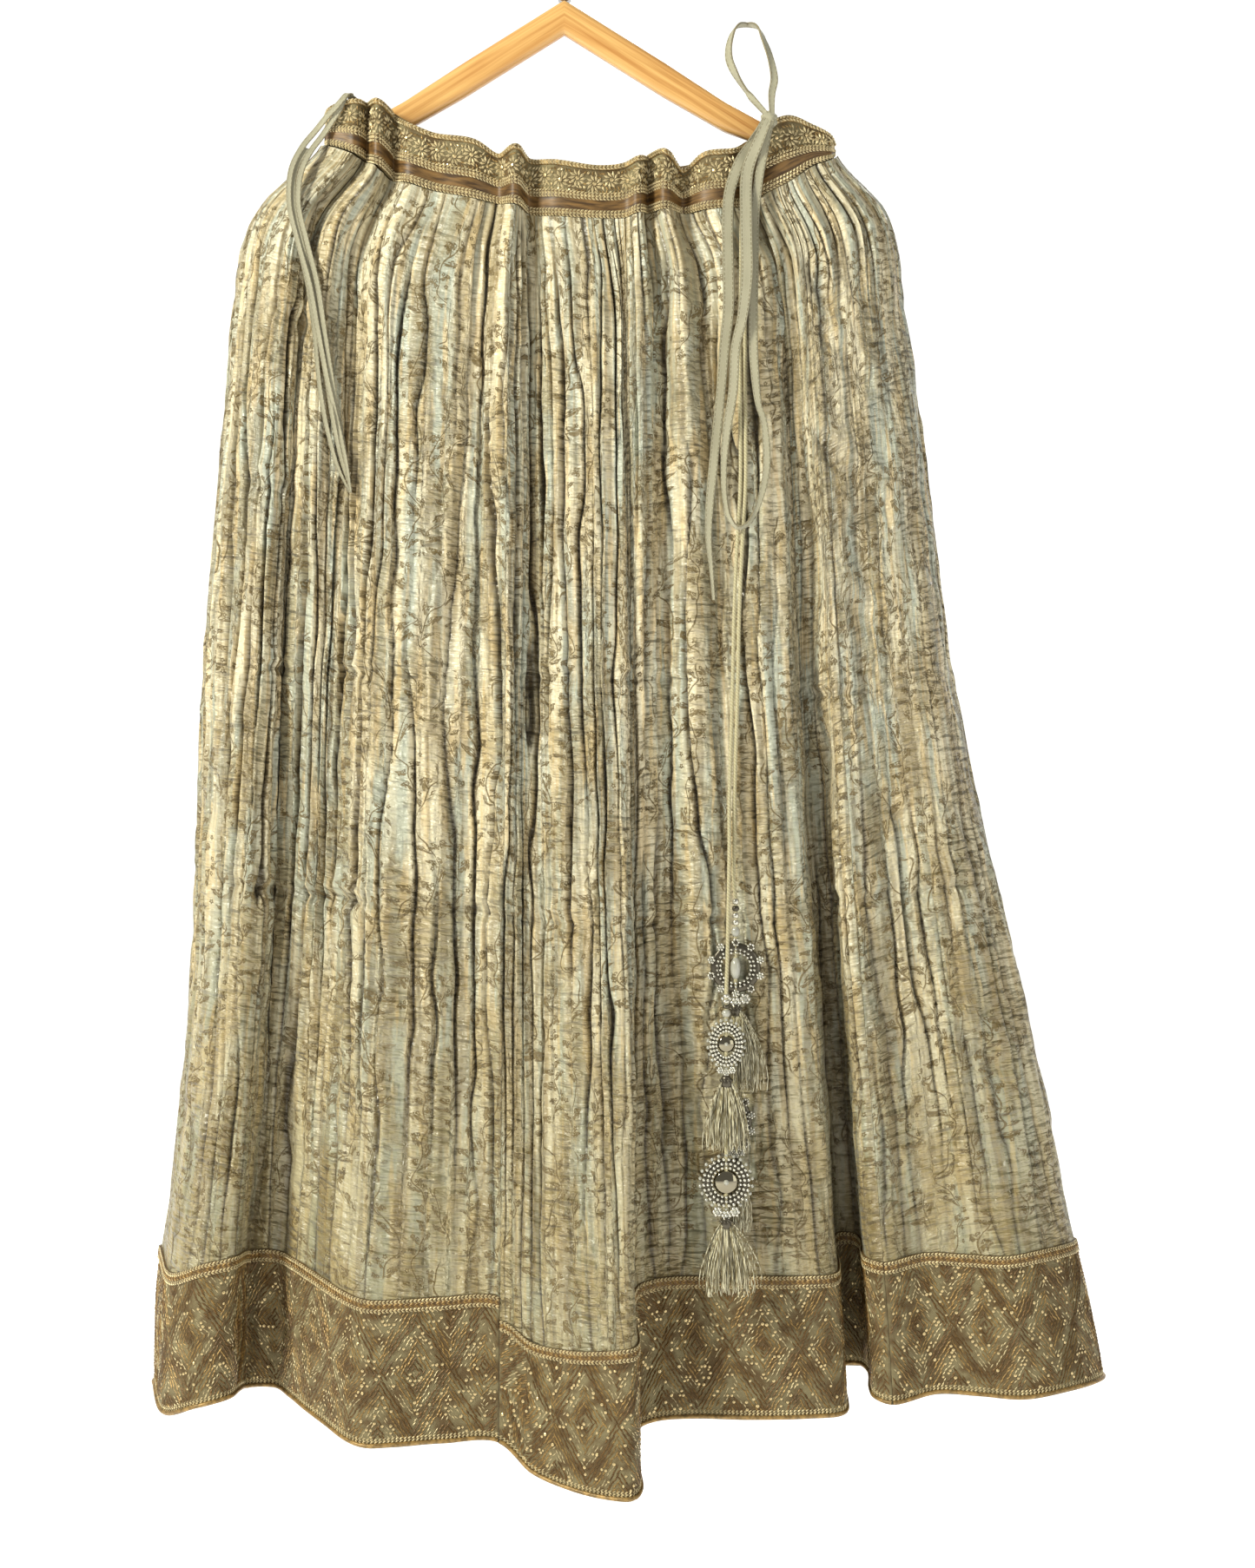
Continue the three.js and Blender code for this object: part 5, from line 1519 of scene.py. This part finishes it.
def beads_piece(side, line):
    """Threaded beads above the first ornament: clear, dark and white ones."""
    low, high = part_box("bead_string_" + side)
    clear, dark, white = Heap(), Heap(), Heap()
    z = high.z
    kinds = [white, dark, white, white, clear] if side == "near" else [white, white, dark, clear]
    sizes = [CLEAR_BEAD if kind is clear else ROUND_BEAD for kind in kinds]
    whole = (high.z - low.z) / sum(share for _, share in sizes)
    for kind, (radius, share) in zip(kinds, sizes):
        tall = whole * share / 2
        kind.add(ball(radius, tall=tall / radius), (*line, z - tall))
        z -= 2 * tall
    return [place(white.piece(f"beads_{side}_silver", SILVER), "beads", "bead_string_" + side),
            place(dark.piece(f"beads_{side}_dark", DARK_BEAD), "beads"),
            place(clear.piece(f"beads_{side}_clear", CRYSTAL), "beads")]


def facing_disc(radius, depth):
    """A low round form that faces the front."""
    rings = [(radius * 0.001, -depth), (radius * 0.8, -depth), (radius, 0),
             (radius * 0.8, depth), (radius * 0.001, depth)]
    points, faces = round_form(rings, 20)
    return points[:, (0, 2, 1)] * (1, -1, 1), faces


HOOP_STEPS = 32
TUBE_STEPS = 8
RING_FLOWERS = 10


def hoop(x, y, z, radius, tall):
    """A round wire hoop that faces the front, its last ring joined to its first."""
    turns = np.linspace(0, 2 * math.pi, HOOP_STEPS + 1)[:-1]
    tube = np.linspace(0, 2 * math.pi, TUBE_STEPS + 1)[:-1]
    around, section = np.meshgrid(turns, tube, indexing="ij")
    reach = radius * 0.74 + radius * 0.17 * np.cos(section)
    points = np.stack([x + reach * np.cos(around), y + 0.0014 * np.sin(section),
                       z + tall * reach * np.sin(around)], -1).reshape(-1, 3)
    faces = grid_faces(HOOP_STEPS + 1, TUBE_STEPS, closed=True) % len(points)
    return points, faces


def medallion_piece(name, line, mirrored):
    """A ring set with bead flowers, or a mirror in rows of small beads, with a drop and foot."""
    low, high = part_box(name)
    tall = (high.z - low.z) / (high.x - low.x) / 1.07
    radius = (high.x - low.x) / 2 / 1.09
    x, y = line
    z = high.z - radius * tall * 1.09
    silver, dark, clear, glass = Heap(), Heap(), Heap(), Heap()

    def ring(share, size, count, heap, depth, start=0.0):
        for k in range(count):
            angle = 2 * math.pi * (k + start) / count + math.pi / 2
            heap.add(ball(size, 6, 8), (x + radius * share * math.cos(angle), y - depth,
                                        z + radius * share * tall * math.sin(angle)))

    def petals_round(across, up, reach, size, depth, start=0):
        for petal in range(6):
            bend = petal * math.pi / 3 + start
            silver.add(ball(size, 5, 6), (across + reach * math.cos(bend), y - depth,
                                          up + reach * math.sin(bend)))

    dark.add(hoop(x, y, z, radius, tall))
    for face in (1, -1):
        ring(0.56, 0.00115, 22, silver, face * 0.0022)
        if mirrored:
            ring(0.72, 0.00125, 26, silver, face * 0.0026)
            ring(0.88, 0.00135, 28, silver, face * 0.0022, 0.5)
            ring(1.02, 0.0014, 22, clear, face * 0.0006)
        else:
            ring(0.68, 0.001, 26, silver, face * 0.0026)
            for k in range(RING_FLOWERS):
                angle = 2 * math.pi * k / RING_FLOWERS + math.pi / 2
                fx = x + radius * 0.93 * math.cos(angle)
                fz = z + radius * 0.93 * tall * math.sin(angle)
                petals_round(fx, fz, 0.0022, 0.00115, face * 0.0022, k)
                heart = clear if k % 3 else dark
                heart.add(ball(0.0013, 5, 8), (fx, y - face * 0.0028, fz))
    if mirrored:
        glass.add(facing_disc(radius * 0.5, 0.0019), (x, y, z))
        for face in (1, -1):
            clear.add(ball(radius * 0.11, 7, 10), (x, y - face * 0.0024, z))
    else:
        clear.add(ball(radius * 0.2, 7, 10, 2.1), (x, y, z - radius * 0.02))
        silver.add(ball(0.0012, 5, 8), (x, y, z + radius * 0.47 * tall))
    for step in (-1, 0, 1):
        fx = x + step * radius * 0.34
        fz = z - radius * tall - radius * (0.12 if step else 0.26)
        petals_round(fx, fz, radius * 0.13, radius * 0.085, 0.0016)
        clear.add(ball(radius * 0.08, 5, 8), (fx, y - 0.0028, fz))
        silver.add(ball(radius * 0.13, 6, 8), (fx, y, fz))
    silver.add(ball(0.0019, 6, 8), (x, y, low.z + 0.0019))
    made = [place(silver.piece(name + "_beads", SILVER), "ornament", name),
            place(dark.piece(name + "_hoop", DARK_BEAD), "ornament"),
            place(clear.piece(name + "_crystals", CRYSTAL), "ornament")]
    if mirrored:
        made.append(place(glass.piece(name + "_mirror", MIRROR), "ornament"))
    return made


STRAND_RADIUS = 0.00066
STRAND_STEPS = 8
STRAND_SIDES = 3
CAP_RADIUS = 0.0042
CAP_BEADS = 10
STRANDS = 150


def tassel_piece(name, line, seed):
    """A capped tassel of loose silky strands that spread over its solid's width."""
    low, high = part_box(name)
    x, y = line
    top = high.z - 0.004
    length = top - low.z
    centre = (low.x + high.x) / 2 - x
    reach = (high.x - low.x) / 2 + 0.003
    k = np.arange(STRANDS)
    spread = 2 * noise(k * 1.37, 0.3, seed) - 1
    deep = 2 * noise(k * 2.11, 0.7, seed + 1) - 1
    drop = length * (0.6 + 0.42 * noise(k * 3.3, 0.1, seed + 2) ** 0.6)
    wild = np.where(noise(k * 5.7, 0.9, seed + 3) > 0.84, 1.5, 1)
    steps = np.linspace(0, 1, STRAND_STEPS)
    grow = np.sin(steps * math.pi / 2) ** 0.8
    sway = 0.006 * (noise(k[:, None] * 1.9, steps[None] * 2.6, seed + 4) - 0.5) * steps
    px = x + 0.0028 * spread[:, None] * (1 - steps) + (
        centre + spread[:, None] * reach * wild[:, None]) * grow + sway
    py = y + 0.0026 * deep[:, None] + deep[:, None] * 0.005 * grow
    pz = top - drop[:, None] * steps
    centres = np.stack([px, py, pz], -1)
    turns = np.arange(STRAND_SIDES) * 2 * math.pi / STRAND_SIDES
    radius = STRAND_RADIUS * (1 - 0.45 * steps)[None, :, None]
    rings = np.stack([centres[..., None, 0] + radius * np.cos(turns),
                      centres[..., None, 1] + radius * np.sin(turns),
                      centres[..., None, 2] + 0 * turns + 0 * radius], -1)
    faces = grid_faces(STRAND_STEPS, STRAND_SIDES, closed=True)
    heap = Heap()
    for strand in rings:
        heap.add((strand.reshape(-1, 3), faces))
    floss = place(heap.piece(name + "_floss", FLOSS), "floss", name)
    cap = Heap()
    cap.add(round_form([(0.0004, -0.006), (0.0042, -0.0058), (0.0044, -0.003), (0.004, 0.001),
                        (0.003, 0.003), (0.0004, 0.0036)], 16), (x, y, top))
    for k in range(CAP_BEADS):
        angle = k * 2 * math.pi / CAP_BEADS
        cap.add(ball(0.0011, 5, 6), (x + CAP_RADIUS * math.cos(angle),
                                     y + CAP_RADIUS * math.sin(angle), top - 0.0008))
    return [floss, place(cap.piece(name + "_cap", DARK_BEAD), "floss")]


def tasselled_cord(side, rows, line, seed):
    """One cord with its beads, and two ornaments each with a tassel."""
    cord, start, length = cord_piece("cord_" + side, rows, line, f"tassel_{side}_2")
    place(cord, "cord", "drawcord_" + side)
    hung = beads_piece(side, line)
    for k in (1, 2):
        mirrored = side == "far"
        hung += medallion_piece(f"medallion_{side}_{k}", line, mirrored)
        hung += tassel_piece(f"tassel_{side}_{k}", line, seed + 10 * k)


# Hanger: each arm's tip is its distance out, its height and its thickness
WOOD_DEPTH = 0.012
WOOD_SIDES = 20
SQUARENESS = 0.55
ARM_LEFT = (0.1878, -0.173, 0.008)
ARM_RIGHT = (0.2128, -0.182, 0.008)
HOOK_WIRE = 0.004
HOOK_STEPS = 80
HOOK_SIDES = 12
HOOK_ROUTE = table("x z", [
    (-0.021, -0.012), (-0.0195, -0.0065), (-0.012, 0.0002), (0, 0.002), (0.012, -0.0035),
    (0.018, -0.014), (0.0165, -0.025), (0.008, -0.033), (0.0015, -0.041), (0, -0.05),
    (0, -0.066),
])


def hanger_wood():
    """Both arms as one bar with rounded edges, swept from tip to tip."""
    sections = []
    for sign, tip in ((-1, ARM_LEFT), (1, ARM_RIGHT)):
        inner = ARM["x"] < tip[0] - 0.003
        x = np.append(ARM["x"][inner], tip[0])
        z = np.append(ARM["z"][inner], tip[1])
        high = np.append(ARM["height"][inner], tip[2])
        fine = np.linspace(0, tip[0], 60)
        side = np.stack([sign * fine, np.interp(fine, x, z), np.interp(fine, x, high)], 1)
        sections.append(side[::-1] if sign < 0 else side[1:])
    line = np.vstack(sections)
    end = np.minimum(line[:, 0] + ARM_LEFT[0], ARM_RIGHT[0] - line[:, 0]) / 0.004
    taper = np.sqrt(np.clip(1 - (1 - np.clip(end, 0, 1)) ** 2, 0.04, 1))
    turns = np.arange(WOOD_SIDES) * 2 * math.pi / WOOD_SIDES
    round_y = np.sign(np.cos(turns)) * np.abs(np.cos(turns)) ** SQUARENESS
    round_z = np.sign(np.sin(turns)) * np.abs(np.sin(turns)) ** SQUARENESS
    points = np.stack([line[:, :1] + 0 * turns, WOOD_DEPTH / 2 * round_y * taper[:, None],
                       line[:, 1:2] + line[:, 2:] / 2 * round_z * taper[:, None]], -1)
    faces = grid_faces(len(line), WOOD_SIDES, closed=True)
    place(make_mesh("hanger_arms", points.reshape(-1, 3), faces, WOOD), "hanger_wood",
          "hanger_wood")


def hanger_hook():
    """The wire hook and the collar that holds it in the wood."""
    points = curve(np.stack([HOOK_ROUTE["x"], 0 * HOOK_ROUTE["x"], HOOK_ROUTE["z"]], 1),
                   np.linspace(0, 1, HOOK_STEPS))
    course = np.gradient(points, axis=0)
    course /= np.linalg.norm(course, axis=1, keepdims=True)
    side = np.array([0, 1, 0])
    across = np.cross(course, side)
    turns = np.arange(HOOK_SIDES) * 2 * math.pi / HOOK_SIDES
    radius = HOOK_WIRE / 2 * np.clip(np.sqrt(np.arange(HOOK_STEPS) / 2), 0.3, 1)[:, None, None]
    rings = (points[:, None] + radius * (side * np.cos(turns)[:, None]
                                         + across[:, None] * np.sin(turns)[:, None]))
    heap = Heap()
    heap.add((rings.reshape(-1, 3), grid_faces(HOOK_STEPS, HOOK_SIDES, closed=True)))
    heap.add(round_form([(0.0005, -0.0655), (0.0052, -0.0654), (0.0052, -0.063), (0.0032, -0.061),
                         (0.0005, -0.0608)], 20))
    place(heap.piece("hanger_hook_wire", CHROME), "hook_metal", "hanger_hook")


tasselled_cord("near", CORD_NEAR, NEAR_LINE, 200)
tasselled_cord("far", CORD_FAR, FAR_LINE, 300)
for panel in PANELS:
    panel_piece(panel)
for panel, seed in (("left", 101), ("middle", 111), ("right", 121)):
    border_piece(panel, seed)
waistband("front", waist_front)
waistband("back", waist_back)
looped_tape("tie_tape_left", HANG_TAPE, "hang_tape_left")
tie("tie_end", TIE_TAIL)
tie("tie_long_loop", TIE_LOOP, "tie_right")
tie("tie_short_loop", TIE_UP)
knot_piece()
hanger_wood()
hanger_hook()


# Stage: a pale floor that rises into a pale wall far behind, and soft light
FLOOR = table("y z", [(-7, -1.5), (3, -1.5), (5, -1.45), (5.8, -1), (6.1, 0), (6.2, 3), (6.2, 7)])
FLOOR_SIDE = 8
FLOOR_STEPS = 60
FLOOR_GLOW = 0.55
DAYLIGHT = (1, 1, 0.96, 1)
DAYLIGHT_STRENGTH = 0.26


def backdrop():
    """The floor, run up into the wall."""
    route = np.stack([0 * FLOOR["y"], FLOOR["y"], FLOOR["z"]], 1)
    line = curve(route, np.linspace(0, 1, FLOOR_STEPS))
    points = np.stack([line + (x, 0, 0) for x in (-FLOOR_SIDE, FLOOR_SIDE)], 1)
    pale = plain("pale_floor", (244, 243, 241), 0.9, Emission_Color=(1, 1, 1, 1),
                 Emission_Strength=FLOOR_GLOW)
    make_mesh("floor", points.reshape(-1, 3), grid_faces(FLOOR_STEPS, 2), pale)


def soft_light(name, place_at, aim, size, power, tint=(1, 1, 1)):
    """A square light at a place, turned to face its aim."""
    data = bpy.data.lights.new(name, "AREA")
    data.size = size
    data.energy = power
    data.color = tint
    light = bpy.data.objects.new(name, data)
    light.location = place_at
    way = np.array(aim, float) - np.array(place_at, float)
    flat = math.hypot(way[0], way[1])
    turn = math.atan2(way[1], way[0]) - math.pi / 2
    light.rotation_euler = (math.atan2(flat, -way[2]), 0, turn)
    bpy.context.scene.collection.objects.link(light)


backdrop()
soft_light("key", (-2.1, -1.6, 0.9), (0, 0, -0.6), 0.6, 100, (1, 1, 0.88))
soft_light("fill", (2.4, -2.0, -0.4), (0, 0, -0.7), 1.6, 16, (0.97, 1, 0.93))
soft_light("rim", (0.9, 2.2, 1.2), (0, 0, -0.6), 1.4, 34)
world = bpy.data.worlds.new("studio")
world.use_nodes = True
background = world.node_tree.nodes["Background"]
background.inputs["Color"].default_value = DAYLIGHT
background.inputs["Strength"].default_value = DAYLIGHT_STRENGTH
bpy.context.scene.world = world
bpy.context.scene.view_settings.view_transform = "Standard"
